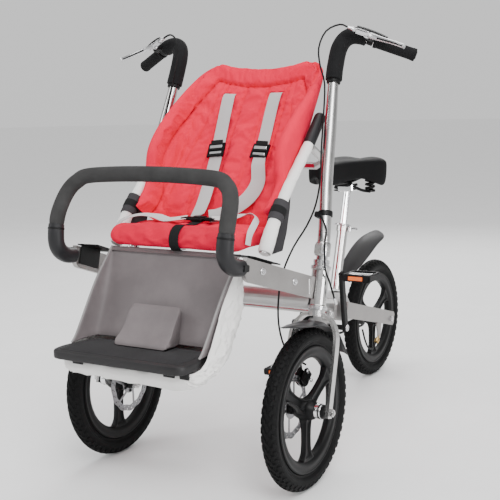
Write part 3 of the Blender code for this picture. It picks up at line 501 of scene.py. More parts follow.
def lathe_into(bm, profile, matrix, steps=64, closed=True):
    """A (radius, height) profile turned about the matrix's Z. A radius of 0 closes the end."""
    rings = []
    for r, h in profile:
        if r < 1e-7:
            rings.append([bm.verts.new(matrix @ V(0, 0, h))])
        else:
            rings.append([bm.verts.new(matrix @ V(u, v, h)) for u, v in circle(r, steps)])
    pairs = list(zip(rings, rings[1:])) + ([(rings[-1], rings[0])] if closed else [])
    for low, high in pairs:
        if len(low) == 1 and len(high) == 1:
            continue
        for i in range(steps):
            j = (i + 1) % steps
            if len(low) == 1:
                bm.faces.new((low[0], high[j], high[i]))
            elif len(high) == 1:
                bm.faces.new((low[i], low[j], high[0]))
            else:
                bm.faces.new((low[i], low[j], high[j], high[i]))


def lathe(name, profile, centre, axis, look, body, steps=64, closed=True):
    bm = bmesh.new()
    lathe_into(bm, profile, turn_matrix(centre, axis), steps, closed)
    return piece(name, bm, look, body, 30)


def knob(radius, height, edge=0.0006, foot=0.0):
    """The profile of a solid disc with eased edges, from foot up."""
    return [(0, foot), (radius - edge, foot), (radius, foot + edge), (radius, height - edge),
            (radius - edge, height), (0, height)]


def box_into(bm, size, matrix, radius, segments=2):
    """A box with round edges."""
    made = bmesh.ops.create_cube(bm, size=1)["verts"]
    bmesh.ops.scale(bm, vec=size, verts=made)
    edges = list({e for v in made for e in v.link_edges})
    faces = bmesh.ops.bevel(bm, geom=edges, offset=radius, segments=segments, affect="EDGES",
                            clamp_overlap=True)["faces"]
    for v in {v for f in faces for v in f.verts} | {v for v in made if v.is_valid}:
        v.co = matrix @ v.co


def box(name, size, matrix, look, body, radius=0.001, segments=2):
    bm = bmesh.new()
    box_into(bm, size, matrix, radius, segments)
    return piece(name, bm, look, body)


def basis(origin, x_axis, y_axis):
    """A frame at the origin given: X along x_axis, and Y as near to y_axis as it can be."""
    x_axis = Vector(x_axis).normalized()
    y_axis = Vector(y_axis)
    y_axis = (y_axis - x_axis * y_axis.dot(x_axis)).normalized()
    matrix = Matrix((x_axis, y_axis, x_axis.cross(y_axis))).transposed().to_4x4()
    matrix.translation = Vector(origin)
    return matrix


def flat(name, outlines, thickness, matrix, look, body, bevel):
    """Flat outlines filled and extruded: the first is the edge and the others are holes."""
    curve = bpy.data.curves.new(name, "CURVE")
    curve.dimensions = "2D"
    curve.fill_mode = "BOTH"
    curve.extrude = thickness / 2 - bevel
    curve.bevel_depth = bevel
    curve.bevel_resolution = 1
    curve.offset = -bevel
    for outline in outlines:
        spline = curve.splines.new("POLY")
        spline.points.add(len(outline) - 1)
        for point, (u, v) in zip(spline.points, outline):
            point.co = (u, v, 0, 1)
        spline.use_cyclic_u = True
    source = bpy.data.objects.new(name + "_outline", curve)
    mesh = bpy.data.meshes.new_from_object(source)
    bm = bmesh.new()
    bm.from_mesh(mesh)
    bpy.data.objects.remove(source)
    bmesh.ops.remove_doubles(bm, verts=bm.verts, dist=1e-6)
    bm.transform(matrix)
    return piece(name, bm, look, body)


def mirror_x(p, side):
    return V(side * p[0], p[1], p[2])


def mirrored(half_line, middle, steps, count):
    """Evenly spaced points on a smooth line, given from its edge to its middle and then mirrored."""
    line = [(-x, d) for x, d in half_line] + [(0, middle)] + half_line[::-1]
    return resample(smooth([(x, d, 0) for x, d in line], steps), count)


def thicken(obj, thickness):
    wall = obj.modifiers.new("wall", "SOLIDIFY")
    wall.thickness = thickness
    wall.offset = 0


# Soft goods


def closed_pad(name, front, back, look, body):
    """A pad between two grids of points that meet along their edges."""
    bm = bmesh.new()
    rows, cols = len(front), len(front[0])
    top = [[bm.verts.new(p) for p in row] for row in front]
    low = []
    for i, row in enumerate(back):
        rim_row = i in (0, rows - 1)
        low.append([top[i][j] if rim_row or j in (0, cols - 1) else bm.verts.new(p) for j,
                    p in enumerate(row)])
    for i in range(rows - 1):
        for j in range(cols - 1):
            bm.faces.new((top[i][j], top[i][j + 1], top[i + 1][j + 1], top[i + 1][j]))
            bm.faces.new((low[i][j], low[i + 1][j], low[i + 1][j + 1], low[i][j + 1]))
    return piece(name, bm, look, body, 80)


def inflate(obj, pinned, pressure, surplus, frames_count, cap):
    """Blows a closed pad up between its pinned points, and keeps the folds that its spare cloth makes."""
    mesh = obj.data
    before = [v.co.copy() for v in mesh.vertices]
    group = obj.vertex_groups.new(name="held")
    for index, weight in enumerate(pinned):
        if weight > 0:
            group.add([index], weight, "REPLACE")
    modifier = obj.modifiers.new("cloth", "CLOTH")
    cloth = modifier.settings
    settings = {"quality": 6, "mass": 0.12, "tension_stiffness": 12, "compression_stiffness": 12,
                "shear_stiffness": 5, "bending_stiffness": 0.25, "air_damping": 4, "use_pressure": True,
                "uniform_pressure_force": pressure, "shrink_min": -surplus, "vertex_group_mass": "held",
                "pin_stiffness": 1.0}
    for key, value in settings.items():
        setattr(cloth, key, value)
    cloth.effector_weights.gravity = 0
    modifier.point_cache.frame_start = 1
    modifier.point_cache.frame_end = frames_count
    scene = bpy.context.scene
    for step in range(1, frames_count + 1):
        scene.frame_set(step)
    depsgraph = bpy.context.evaluated_depsgraph_get()
    after = [v.co.copy() for v in obj.evaluated_get(depsgraph).data.vertices]
    obj.modifiers.remove(modifier)
    for vertex, old, new in zip(mesh.vertices, before, after):
        move = new - old
        if move.length > cap:
            move *= cap / move.length
        vertex.co = old + move
    scene.frame_set(1)
    obj.vertex_groups.clear()
    mesh.update()


def groove(distance, depth, width):
    """How deep a sewn channel is at a distance from its middle."""
    return depth * math.exp(-((distance / width) ** 2))


RECLINE = math.radians(34)
BACK_FOOT = P(0, 0.08, 0.65)
BACK_UP = V(0, math.sin(RECLINE), math.cos(RECLINE))
BACK_OUT = V(0, -math.cos(RECLINE), math.sin(RECLINE))


def on_back(x, up, out):
    """A point beside, up and in front of the back's foot, in the reclined back's directions."""
    return BACK_FOOT + BACK_UP * up + BACK_OUT * out + V(x, 0, 0)


# Height up the back, how far the wing comes forward and half the width; the top edge's dip is worked out from
# the height
BACK_TABLE = [
    (-0.03, 0.104, 0.19),
    (0.000, 0.092, 0.193),
    (0.053, 0.086, 0.195),
    (0.09, 0.106, 0.196),
    (0.13, 0.122, 0.196),
    (0.18, 0.12, 0.196),
    (0.243, 0.103, 0.196),
    (0.3, 0.082, 0.1955),
    (0.36, 0.056, 0.193),
    (0.41, 0.034, 0.186),
    (0.44, 0.021, 0.176),
    (0.46, 0.013, 0.16),
    (0.472, 0.008, 0.138),
]
PAD_ROWS, PAD_COLS = 138, 131
BOLSTER = 0.06
CHANNELS = (0.034, 0.098)


def back_surface():
    """Rows of points of the back's middle surface, evenly spaced across."""
    table = resample(smooth(BACK_TABLE, 8), PAD_ROWS)
    grid = []
    for up, wing, half in table:
        bend = min(0.014, wing * 0.4)
        outline = [(half, wing), (half + 0.002, wing * 0.62 + bend * 0.38), (half - 0.014, bend * 1.1),
                   (half - 0.055, 0.003), (0.06, 0)]
        dip = 0.012 * max(0.0, (up - 0.38) / 0.09) ** 2
        grid.append([on_back(p.x, up - dip * max(0.0, 1 - (p.x / 0.13) ** 2), p.y)
                     for p in mirrored(outline, 0, 6, PAD_COLS)])
    return grid


def grid_normals(grid):
    out = []
    for i, row in enumerate(grid):
        line = []
        for j in range(len(row)):
            a = grid[min(i + 1, len(grid) - 1)][j] - grid[max(i - 1, 0)][j]
            b = row[min(j + 1, len(row) - 1)] - row[max(j - 1, 0)]
            line.append(b.cross(a).normalized())
        out.append(line)
    return out


def edge_distances(grid):
    """The distance from each point to the pad's side edges and to its top edge."""
    rows, cols = len(grid), len(grid[0])
    side = []
    for row in grid:
        run = [0.0]
        for a, b in zip(row, row[1:]):
            run.append(run[-1] + (b - a).length)
        side.append([min(r, run[-1] - r) for r in run])
    top = [[0.0] * cols for _ in range(rows)]
    for j in range(cols):
        run = 0.0
        for i in range(rows - 2, -1, -1):
            run += (grid[i + 1][j] - grid[i][j]).length
            top[i][j] = run
    return side, top


def soft_min(a, b, blend=0.012):
    """The smaller of two, rounded where they are nearly equal."""
    h = max(0.0, min(1.0, 0.5 + 0.5 * (b - a) / blend))
    return lerp(b, a, h) - blend * h * (1 - h)


def wing_seam(x, up):
    """The distance to the slanting seam between the wing's root and the middle panel."""
    if up < 0.05 or x < 0.1:
        return 1.0
    return abs(x - (0.166 - 0.055 * max(0.0, (up - 0.05) / 0.36)))


def seat_back():
    """The quilted back: a padded border round the wings and top, and sewn channels between."""
    grid = back_surface()
    normals = grid_normals(grid)
    if normals[PAD_ROWS // 2][PAD_COLS // 2].dot(BACK_OUT) < 0:
        normals = [[-n for n in row] for row in normals]
    side, top = edge_distances(grid)
    front, rear, held = [], [], []
    for i, row in enumerate(grid):
        f_row, b_row, h_row = [], [], []
        up = (row[PAD_COLS // 2] - BACK_FOOT).dot(BACK_UP)
        for j, p in enumerate(row):
            d = max(0.0, soft_min(side[i][j], top[i][j]))
            foot = i / 8
            roll = math.sqrt(max(0.0, 1 - ((d - BOLSTER / 2) / (BOLSTER / 2)) ** 2)) if d < BOLSTER else 0.0
            inner = max(0.0, d - BOLSTER)
            seam = abs(d - BOLSTER)
            x = abs(p.x)
            nearest = min(abs(x - c) for c in CHANNELS)
            crown = 0.011 * (1 - math.exp(-inner / 0.01)) if d > BOLSTER else 0.0
            height = 0.004 + 0.0145 * roll ** 0.62 + crown * 1.05
            height -= groove(seam, 0.005, 0.0032)
            if d > BOLSTER:
                height -= groove(nearest, 0.0085, 0.0042) * (1 - math.exp(-inner / 0.01))
                height -= groove(wing_seam(x, up), 0.006, 0.004) * (1 - math.exp(-inner / 0.01))
            ripple = noise.noise(p * 30) * 0.0012 + noise.noise(V(p.x * 90, up * 40, 3)) * 0.0006
            pucker = 0.0006 * math.sin(2 * math.pi * (up + 0.6 * x) / 0.024 + 3 * noise.noise(p * 16))
            near_seam = math.exp(-seam / 0.011) + 0.7 * math.exp(-nearest / 0.01) * (d > BOLSTER)
            height += ripple + pucker * min(1.0, near_seam)
            ease = min(1.0, foot) * math.sqrt(min(1.0, d / 0.012))
            f_row.append(p + normals[i][j] * (height * ease))
            b_row.append(p - normals[i][j] * (0.0115 * ease))
            sewn = seam < 0.0028 or (d > BOLSTER and nearest < 0.0028)
            h_row.append(1.0 if sewn or d < 0.004 or i < 3 else 0.0)
        front.append(f_row)
        rear.append(b_row)
        held.append(h_row)
    pad = closed_pad("seat_back_quilt", front, rear, "red", "child_seat")
    weights = [w for row in held for w in row]
    weights += [1.0] * (len(pad.data.vertices) - len(weights))
    inflate(pad, weights, 2.2, 0.035, 16, 0.007)
    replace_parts(pad, "seat_back_pad")


def seat_cushion():
    """The seat cushion, with a round roll in front and sides that pull in."""
    outline = [(-0.03, 0.5985), (-0.085, 0.5975), (-0.118, 0.596), (-0.136, 0.601), (-0.1455, 0.613),
               (-0.146, 0.627), (-0.137, 0.64), (-0.12, 0.647), (-0.1, 0.647), (-0.084, 0.642),
               (-0.06, 0.6425), (-0.02, 0.643), (0.02, 0.64), (0.046, 0.632), (0.053, 0.618),
               (0.046, 0.605), (0.02, 0.599)]
    loop = smooth([V(0, y, z) for y, z in outline + outline[:1]], 5)[:-1]
    middle = V(0, -0.045, 0.62)
    half, seam, stations = 0.187, -0.084, 62
    rings, held = [], []
    for k in range(stations):
        t = 2 * k / (stations - 1) - 1
        reach = half * math.sin(t * math.pi / 2 * 0.98) / math.sin(math.pi / 2 * 0.98)
        end = max(0.0, (abs(reach) - 0.16) / 0.027)
        swell = math.sqrt(max(0.0, 1 - end**2)) * 0.55 + 0.45
        ring = []
        for q in loop:
            away = q - middle
            place = V(reach, middle.y + away.y * lerp(1.0, swell, 0.3), middle.z + away.z * swell)
            place.z -= 0.003 * (1 - (reach / half) ** 2) * (1 if away.z > 0 and q.y > -0.08 else 0)
            wave = noise.noise(V(reach * 26, q.y * 30, q.z * 30)) * 0.0014
            crease = 0.0016 * math.sin(reach * 210 + 3 * noise.noise(V(reach * 12, 0, 5)))
            near_seam = math.exp(-abs(q.y - seam) / 0.01) if away.z > 0 else 0.0
            place.z += wave + crease * near_seam - groove(q.y - seam, 0.004, 0.004) * (away.z > 0)
            ring.append(place + V(0, -SHIFT, 0))
            sewn = away.z > 0 and abs(q.y - seam) < 0.003
            held.append(1.0 if away.z < -0.017 or sewn or end > 0.9 or q.y > 0.03 else 0.0)
        rings.append(ring)
    bm = bmesh.new()
    skin(bm, rings)
    pad = piece("seat_cushion_pad", bm, "red", "child_seat", 80)
    inflate(pad, held, 2.0, 0.03, 16, 0.006)
    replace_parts(pad, "seat_cushion")


def webbing_strap(name, path, width, look, up):
    return sweep(name, smooth(path, 8), slab(width, 0.0016), look, "child_seat", up=up, angle=60)


def ladder_buckle(name, matrix, body):
    """A slide adjuster: a frame with two cross bars and a lifted tongue."""
    bm = bmesh.new()
    w, l = 0.05, 0.042
    box_into(bm, (w - 0.006, l - 0.006, 0.002), matrix @ at((0, -0.001, 0.0006)), 0.0006)
    for side in (1, -1):
        box_into(bm, (0.005, l, 0.0058), matrix @ at((side * (w / 2 - 0.0025), 0, 0.0015)), 0.0012)
    for y, rise in ((l / 2 - 0.004, 0.0034), (0.001, 0.0036), (-l / 2 + 0.004, 0.0034)):
        box_into(bm, (w - 0.004, 0.0062, 0.0046), matrix @ at((0, y, rise)), 0.0012)
    box_into(bm, (w - 0.014, 0.012, 0.0026),
             matrix @ at((0, l / 2 + 0.001, 0.0062)) @ Matrix.Rotation(math.radians(14), 4, "X"), 0.0009)
    piece(name, bm, "black", body)
    bm = bmesh.new()
    box_into(bm, (w - 0.013, 0.0085, 0.0012), matrix @ at((0, 0.0085, 0.0062)), 0.0004)
    box_into(bm, (w - 0.015, 0.0065, 0.0012), matrix @ at((0, -0.0085, 0.004)), 0.0004)
    piece(name + "_plate", bm, "chrome", body)


def harness():
    """Shoulder and lap straps, their adjusters and the buckle."""
    right = [on_back(-0.076, 0.376, 0.004), on_back(-0.077, 0.364, 0.0205), on_back(-0.073, 0.32, 0.0215),
            on_back(-0.064, 0.25, 0.022), on_back(-0.054, 0.19, 0.0255), on_back(-0.048, 0.13, 0.027),
            on_back(-0.04, 0.07, 0.034), P(-0.031, 0.052, 0.69), P(-0.022, 0.014, 0.6655),
             P(-0.017, -0.004, 0.6615)]
    webbing_strap("shoulder_strap_right", right, 0.038, "webbing", V(0, -0.75, 0.66))
    left = [on_back(0.068, 0.376, 0.004), on_back(0.068, 0.364, 0.0205), on_back(0.07, 0.31, 0.0215),
             on_back(0.076, 0.24, 0.022), on_back(0.081, 0.185, 0.0255), on_back(0.09, 0.14, 0.034),
             P(0.101, 0.108, 0.742), P(0.098, 0.07, 0.708), P(0.078, 0.038, 0.684), P(0.048, 0.012, 0.667),
             P(0.022, -0.002, 0.662)]
    turned_up = [V(0, -0.75, 0.66).lerp(V(0.55, -0.62, 0.55), min(1.0, max(0.0, (i - 36) / 16)))
                 for i in range(81)]
    webbing_strap("shoulder_strap_left", left, 0.036, "webbing", lambda i: turned_up[i])
    for name, x, up, lean in (("right", -0.055, 0.184, 0.1), ("left", 0.08, 0.182, -0.05)):
        matrix = basis(on_back(x, up, 0.0275), (1, 0, 0), BACK_UP) @ Matrix.Rotation(lean, 4, "Z")
        ladder_buckle(f"strap_adjuster_{name}", matrix, "child_seat")
        box(f"strap_slot_{name}", (0.048, 0.004, 0.003),
            basis(on_back(x + (-0.021 if x < 0 else -0.012), 0.376, 0.016), (1, 0, 0), BACK_UP), "red",
            "child_seat", 0.001)
    lap_right = [P(-0.1935, -0.1, 0.612), P(-0.195, -0.092, 0.64), P(-0.186, -0.078, 0.6555),
                 P(-0.16, -0.045, 0.664),
                 P(-0.125, -0.026, 0.66), P(-0.088, -0.03, 0.6535), P(-0.06, -0.02, 0.656),
                 P(-0.038, -0.012, 0.659)]
    webbing_strap("lap_strap_right", lap_right, 0.024, "pale_webbing", V(-0.2, -0.35, 0.9))
    lap_left = [P(0.034, -0.01, 0.659), P(0.07, 0.006, 0.659), P(0.11, 0.012, 0.666), P(0.15, -0.004, 0.672),
                P(0.18, -0.035, 0.666), P(0.1925, -0.068, 0.656), P(0.1955, -0.094, 0.638),
                P(0.195, -0.104, 0.612)]
    twist = [V(0.0, -0.4, 0.9).lerp(V(0.95, -0.1, 0.3), min(1.0, i / 34)) for i in range(57)]
    webbing_strap("lap_strap_left", lap_left, 0.019, "pale_webbing", lambda i: twist[i])
    bm = bmesh.new()
    centre = P(-0.003, -0.012, 0.656)
    box_into(bm, (0.04, 0.038, 0.0125), at(centre), 0.0045, 3)
    for side in (1, -1):
        box_into(bm, (0.026, 0.024, 0.0085), at(centre + V(side * 0.03, 0.002, 0)), 0.003, 3)
        box_into(bm, (0.01, 0.03, 0.006), at(centre + V(side * 0.044, 0.003, 0)), 0.0022, 2)
    buckle = piece("buckle_body", bm, "black", "child_seat")
    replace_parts(buckle, "harness_buckle")
    lathe("buckle_button", knob(0.0105, 0.0022, 0.0006), centre + V(0, -0.002, 0.006), (0, 0, 1), "dark",
          "child_seat", 32, False)
    loop = [P(0.0, -0.02, 0.65), P(0.004, -0.06, 0.6465), P(0.009, -0.09, 0.65), P(0.013, -0.115, 0.6525),
            P(0.015, -0.136, 0.646), P(0.016, -0.149, 0.63), P(0.016, -0.15, 0.61), P(0.016, -0.14, 0.596),
            P(0.016, -0.118, 0.5925)]
    middle_of_roll = P(0.012, -0.105, 0.615)
    points = smooth(loop, 8)
    webbing_strap("crotch_strap", loop, 0.026, "black_webbing",
                  lambda i: (points[i] - middle_of_roll).normalized()
                  if points[i].y < middle_of_roll.y else V(0, 0, 1))


def side_tubes():
    """The seat frame's cloth sleeves, plastic caps, bands and grey side flaps."""
    spine = [(-0.07, 0.59), (-0.02, 0.66), (0.06, 0.745), (0.16, 0.835), (0.222, 0.898)]
    for name, side in SIDES.items():
        path = smooth([P(side * 0.2205, y, z) for y, z in spine], 12)
        lower = path[: int(len(path) * 0.77)]
        scale = []
        for i, p in enumerate(lower):
            t = i / (len(lower) - 1)
            wave = 0.05 * noise.noise(V(side, i * 0.35, 0)) + 0.03 * math.sin(i * 1.7)
            gather = 1 - 0.22 * math.exp(-i / 1.2)
            scale.append((lerp(0.0195, 0.0136, min(1.0, t * 2.1)) / 0.015) * (1 + wave) * gather)
        sweep(f"seat_tube_sleeve_{name}", lower, circle(0.015, 28), "white", "child_seat", scale)
        band = [p for p in path if 0.668 < p.z < 0.694]
        sweep(f"seat_tube_band_{name}", band, circle(0.0203, 28), "black_webbing", "child_seat")
        trim = [p for p in path if 0.656 < p.z < 0.706]
        sweep(f"seat_tube_trim_{name}", trim, circle(0.0192, 28), "grey_fabric", "child_seat")
        cap = path[int(len(path) * 0.74):]
        last = cap[-1]
        ahead = (last - cap[-2]).normalized()
        cap += [last + ahead * 0.006, last + ahead * 0.011, last + ahead * 0.0135]
        sizes = [0.93] + [1.0] * (len(cap) - 4) + [0.96, 0.8, 0.45]
        sweep(f"seat_tube_cap_{name}", cap, circle(0.0152, 28), "dark", "child_seat", sizes)
        flap = [(-0.05, 0.61), (0.000, 0.682), (0.048, 0.736), (0.074, 0.724), (0.068, 0.682), (0.05, 0.624),
                (0.028, 0.582), (-0.02, 0.58)]
        flat(f"seat_side_flap_{name}", [[(y - SHIFT, z) for y, z in flap]], 0.003,
             basis((side * 0.2135, 0, 0), (0, 1, 0), (0, 0, 1)), "grey_fabric", "child_seat", 0.0006)


# Leg panel's back surface and how far its side walls come forward
LEG_TABLE = [
    (-0.124, 0.592, 0.004),
    (-0.138, 0.56, 0.02),
    (-0.156, 0.518, 0.04),
    (-0.175, 0.475, 0.054),
    (-0.194, 0.435, 0.064),
    (-0.212, 0.399, 0.074),
    (-0.216, 0.385, 0.086),
]


def leg_scoop():
    """The moulded scoop behind the calves, with a piped edge, and the wedge between the feet."""
    table = smooth(LEG_TABLE, 6)
    rows, edges = [], {1: [], -1: []}
    for y, z, rim in table:
        half = 0.187 - (0.592 - z) * 0.025
        ahead = V(0, -0.985, z - 0.42).normalized()
        line = [(half + 0.001, rim), (half, rim * 0.55), (half - 0.004, rim * 0.22), (half - 0.018, 0.002),
                (0.1, 0)]
        row = [P(p.x, y, z) + ahead * p.y for p in mirrored(line, 0, 5, 61)]
        rows.append(row)
        edges[1].append(row[-1])
        edges[-1].append(row[0])
    bm = bmesh.new()
    skin(bm, rows, False)
    panel = piece("leg_scoop", bm, "panel", "child_seat", 60)
    thicken(panel, 0.0045)
    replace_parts(panel, "leg_panel")
    for name, side in SIDES.items():
        sweep(f"leg_piping_{name}", edges[side], circle(0.0026, 12), "piping", "child_seat")
    hem = [P(x, -0.1315, 0.58) for x in (-0.181, -0.09, 0, 0.09, 0.181)]
    sweep("leg_panel_hem", hem, slab(0.0025, 0.012), "panel", "child_seat", up=V(0, -0.39, 0.92))
    sections = []
    wedge = [(-0.279, 0.3845), (-0.276, 0.3925), (-0.256, 0.406), (-0.237, 0.43), (-0.211, 0.466),
             (-0.2005, 0.464), (-0.213, 0.415), (-0.225, 0.3845)]
    loop = smooth([V(0, y, z) for y, z in wedge + wedge[:1]], [2, 3, 3, 4, 2, 3, 2, 3])[:-1]
    middle = sum(loop, Vector()) / len(loop)
    for t in (-1, -0.985, -0.94, -0.87, -0.5, 0, 0.5, 0.87, 0.94, 0.985, 1):
        pull = {1: 0.84, 0.985: 0.91, 0.94: 0.97}.get(abs(t), 1.0)
        ring = []
        for q in loop:
            half = 0.0715 + 0.0045 * max(0.0, (0.43 - q.z) / 0.045)
            ring.append(V(t * half, -SHIFT, 0) + middle + (q - middle) * pull)
        sections.append(ring)
    bm = bmesh.new()
    skin(bm, sections)
    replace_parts(piece("calf_wedge", bm, "panel", "child_seat", 60), "calf_block")


# Basket cloth: its front edge and its back line at each station, and half its width
BASKET_TABLE = [
    (-0.134, 0.57, -0.116, 0.552, 0.1875),
    (-0.168, 0.536, -0.106, 0.512, 0.19),
    (-0.206, 0.494, -0.11, 0.47, 0.192),
    (-0.24, 0.446, -0.128, 0.428, 0.1945),
    (-0.268, 0.404, -0.16, 0.382, 0.1955),
    (-0.296, 0.37, -0.202, 0.348, 0.195),
    (-0.318, 0.3575, -0.25, 0.324, 0.19),
    (-0.334, 0.356, -0.3, 0.31, 0.182),
    (-0.338, 0.3575, -0.334, 0.324, 0.172),
    (-0.341, 0.3585, -0.346, 0.338, 0.166),
    (-0.342, 0.359, -0.344, 0.3565, 0.162),
]


def basket():
    """The white cloth that hangs round the back of the leg panel and under the footrest."""
    table = resample(smooth(BASKET_TABLE, 8), 60)
    rows = []
    for k, (fy, fz, by, bz, half) in enumerate(table):
        front, back = V(0, fy, fz), V(0, by, bz)
        line = [(half - 0.003, 0.0), (half + 0.001, 0.22), (half + 0.0015, 0.55), (half - 0.012, 0.88),
                (half - 0.045, 1.0),
                (0.07, 1.03)]
        row = []
        for p in mirrored(line, 1.03, 6, 81):
            q = front.lerp(back, p.y)
            place = P(p.x, q.y, q.z)
            sag = noise.noise(V(p.x * 14, k * 0.1, p.y * 2)) * 0.0075
            fold = 1 - abs(noise.noise(V(p.x * 30 + p.y * 3, k * 0.16, p.y * 5))) * 2
            crease = 1 - abs(noise.noise(V(p.x * 55 + k * 0.1, k * 0.21, p.y * 8 + 7))) * 2.4
            crumple = 0.007 * max(0.0, fold) ** 3 + 0.0034 * max(0.0, crease) ** 2
            away = V(p.x * 0.9, (back - front).y, (back - front).z - 0.05).normalized()
            hold = min(1.0, 6 * min(p.y, 0.2) + 0.15)
            row.append(place + away * ((sag + crumple) * hold))
        rows.append(row)
    bm = bmesh.new()
    skin(bm, rows, False)
    cloth = piece("basket_cloth", bm, "nylon", "child_seat", 80)
    thicken(cloth, 0.0012)
    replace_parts(cloth, "basket_cover")


def footboard():
    """The footrest: a board with rounded edges, fine ribs on top and hooks beneath."""
    front, back, top = -0.38, -0.228, 0.381
    half = [(0.149, back), (0.166, back - 0.014), (0.1745, back - 0.04), (0.188, front + 0.066),
            (0.1885, front + 0.034),
            (0.184, front + 0.016), (0.174, front + 0.004), (0.158, front)]
    right = [(p.x, p.y) for p in smooth([(x, y, 0) for x, y in half], [2, 2, 3, 2, 4, 4, 3])]
    outline = right + [(-x, y) for x, y in right[::-1]]
    board = flat("footrest_board", [[(x, y - SHIFT) for x, y in outline]], 0.021,
                 at((0, 0, top - 0.0105)), "board", "child_seat", 0.0045)
    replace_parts(board, "footrest")
    bm = bmesh.new()
    y = front + 0.02
    while y < back - 0.014:
        reach = 0.168 - max(0.0, (y + 0.262)) * 0.6
        for a, b in ((-reach, reach),) if y < -0.275 else ((-reach, -0.074), (0.074, reach)):
            box_into(bm, (b - a, 0.003, 0.0026), at(P((a + b) / 2, y, top + 0.0005)), 0.0009, 1)
        y += 0.0078
    # The ribs take the lighter copy of the board plastic, a painted highlight on their tops
    piece("footrest_ribs", bm, "rib_painted_highlight", "child_seat")
    for name, x, width in (("left", 0.132, 0.03), ("right", -0.128, 0.03), ("corner", 0.17, 0.018)):
        hook = [(-0.352, 0.3602), (-0.318, 0.3602), (-0.322, 0.35), (-0.336, 0.341), (-0.348, 0.346)]
        flat(f"footrest_hook_{name}", [[(y - SHIFT, z) for y, z in hook]], width,
             basis((x, 0, 0), (0, 1, 0), (0, 0, 1)), "black", "child_seat", 0.001)


seat_back()
seat_cushion()
harness()
side_tubes()
leg_scoop()
basket()
footboard()


# Tyres and wheels

TREAD_COUNT = 54
SPOKE_ANGLES = [math.radians(a) for a in (-91.3, 28.7, 148.7)]
HUB_HEIGHT, HALF_TRACK, WHEELBASE = 0.2, 0.289, 1.047
WHEELS = {"left": (P(HALF_TRACK, 0, HUB_HEIGHT), "front_wheel_left", 1),
          "right": (P(-HALF_TRACK, 0, HUB_HEIGHT), "front_wheel_right", -1),
          "rear": (P(0, WHEELBASE, HUB_HEIGHT), "rear_wheel_body", 1)}


def wheel_matrix(centre, side=1):
    """Local Z runs outboard along the axle, local X backwards."""
    return basis(centre, (0, 1, 0), (0, 0, 1) if side > 0 else (0, 0, -1))


# The middle of the tyre's section lies this far from the axle
TYRE_RING = 0.179
# The tread's rows: place on the section in radians, shift along the tyre, length, width, skew, half the
# height
TREAD_ROWS = [(-0.2, 0.0, 0.0158, 0.0066, 0.35, 0.0024), (0.2, 0.5, 0.0158, 0.0066, 0.35, 0.0024),
              (-0.56, 0.5, 0.0162, 0.0066, -0.3, 0.0024), (0.56, 0.0, 0.0162, 0.0066, -0.3, 0.0024),
              (-0.95, 0.0, 0.014, 0.0082, 0.0, 0.0024), (0.95, 0.5, 0.014, 0.0082, 0.0, 0.0024),
              (-1.26, 0.0, 0.005, 0.009, 0.0, 0.0018), (1.26, 0.5, 0.005, 0.009, 0.0, 0.0018)]


def tread_block(bm, matrix, angle, across, size, skew):
    """One rubber block on the crown."""
    out = V(math.cos(across), 0, math.sin(across))
    centre = V(TYRE_RING, 0, 0) + out * 0.0185
    turn = Matrix.Rotation(angle, 4, "Z")
    local = basis(centre, (0, 1, 0), (-math.sin(across), 0, math.cos(across))) @ Matrix.Rotation(skew, 4, "Z")
    box_into(bm, size, matrix @ turn @ local, 0.0008, 1)


def tyre_pieces(name):
    """The carcass with three raised rings on each side wall, and the tread's blocks."""
    centre, body, side = WHEELS[name]
    matrix = wheel_matrix(centre, side)
    profile = []
    for k in range(49):
        a = math.radians(-138 + 276 * k / 48)
        r = 0.0186 + 0.001 * min(1.0, max(0.0, (math.degrees(abs(a)) - 62) / 14))
        for ring, depth in ((100, 0.0008), (116, 0.0008), (130, 0.0007)):
            r += depth * math.exp(-((math.degrees(abs(a)) - ring) / 2.6) ** 2)
        profile.append((TYRE_RING + r * math.cos(a), r * math.sin(a)))
    profile += [(0.1585, 0.0128), (0.1582, 0.0105), (0.1582, -0.0105), (0.1585, -0.0128)]
    bm = bmesh.new()
    lathe_into(bm, profile, matrix, 144)
    carcass = piece(f"tyre_carcass_{name}", bm, "tyre", body, 40)
    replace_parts(carcass, f"tyre_{name}")
    bm = bmesh.new()
    step = 2 * math.pi / TREAD_COUNT
    for i in range(TREAD_COUNT):
        for across, shift, length, width, skew, lift in TREAD_ROWS:
            tread_block(bm, matrix, i * step + shift * step, across, (length, width, lift * 2), skew)
    piece(f"tyre_tread_{name}", bm, "tyre", body, 30)


def spoke_into(bm, matrix, angle):
    """A tapered, dished spoke that flares into the rim."""
    stations = [(0.02, 0.0185, 0.012), (0.034, 0.015, 0.0085), (0.06, 0.0132, 0.0072), (0.09, 0.014, 0.007),
                (0.108, 0.0165, 0.0075), (0.121, 0.024, 0.0085), (0.1285, 0.035, 0.009)]
    turn = matrix @ Matrix.Rotation(angle, 4, "Z")
    rings = []
    for r, half, thick in smooth(stations, 4):
        dish = 0.62 * min(1.0, max(0.0, (r - 0.024) / 0.012)) * min(1.0, max(0.0, (0.126 - r) / 0.01))
        inner, lip = half * 0.56, half * 0.74
        shape = [(half, thick * 0.55), (half * 0.93, thick), (lip, thick), (inner, thick * (1 - dish)),
                 (-inner, thick * (1 - dish)), (-lip, thick), (-half * 0.93, thick), (-half, thick * 0.55)]
        shape += [(u, -w) for u, w in shape[::-1]]
        rings.append([turn @ V(r, u, w) for u, w in shape])
    skin(bm, rings)


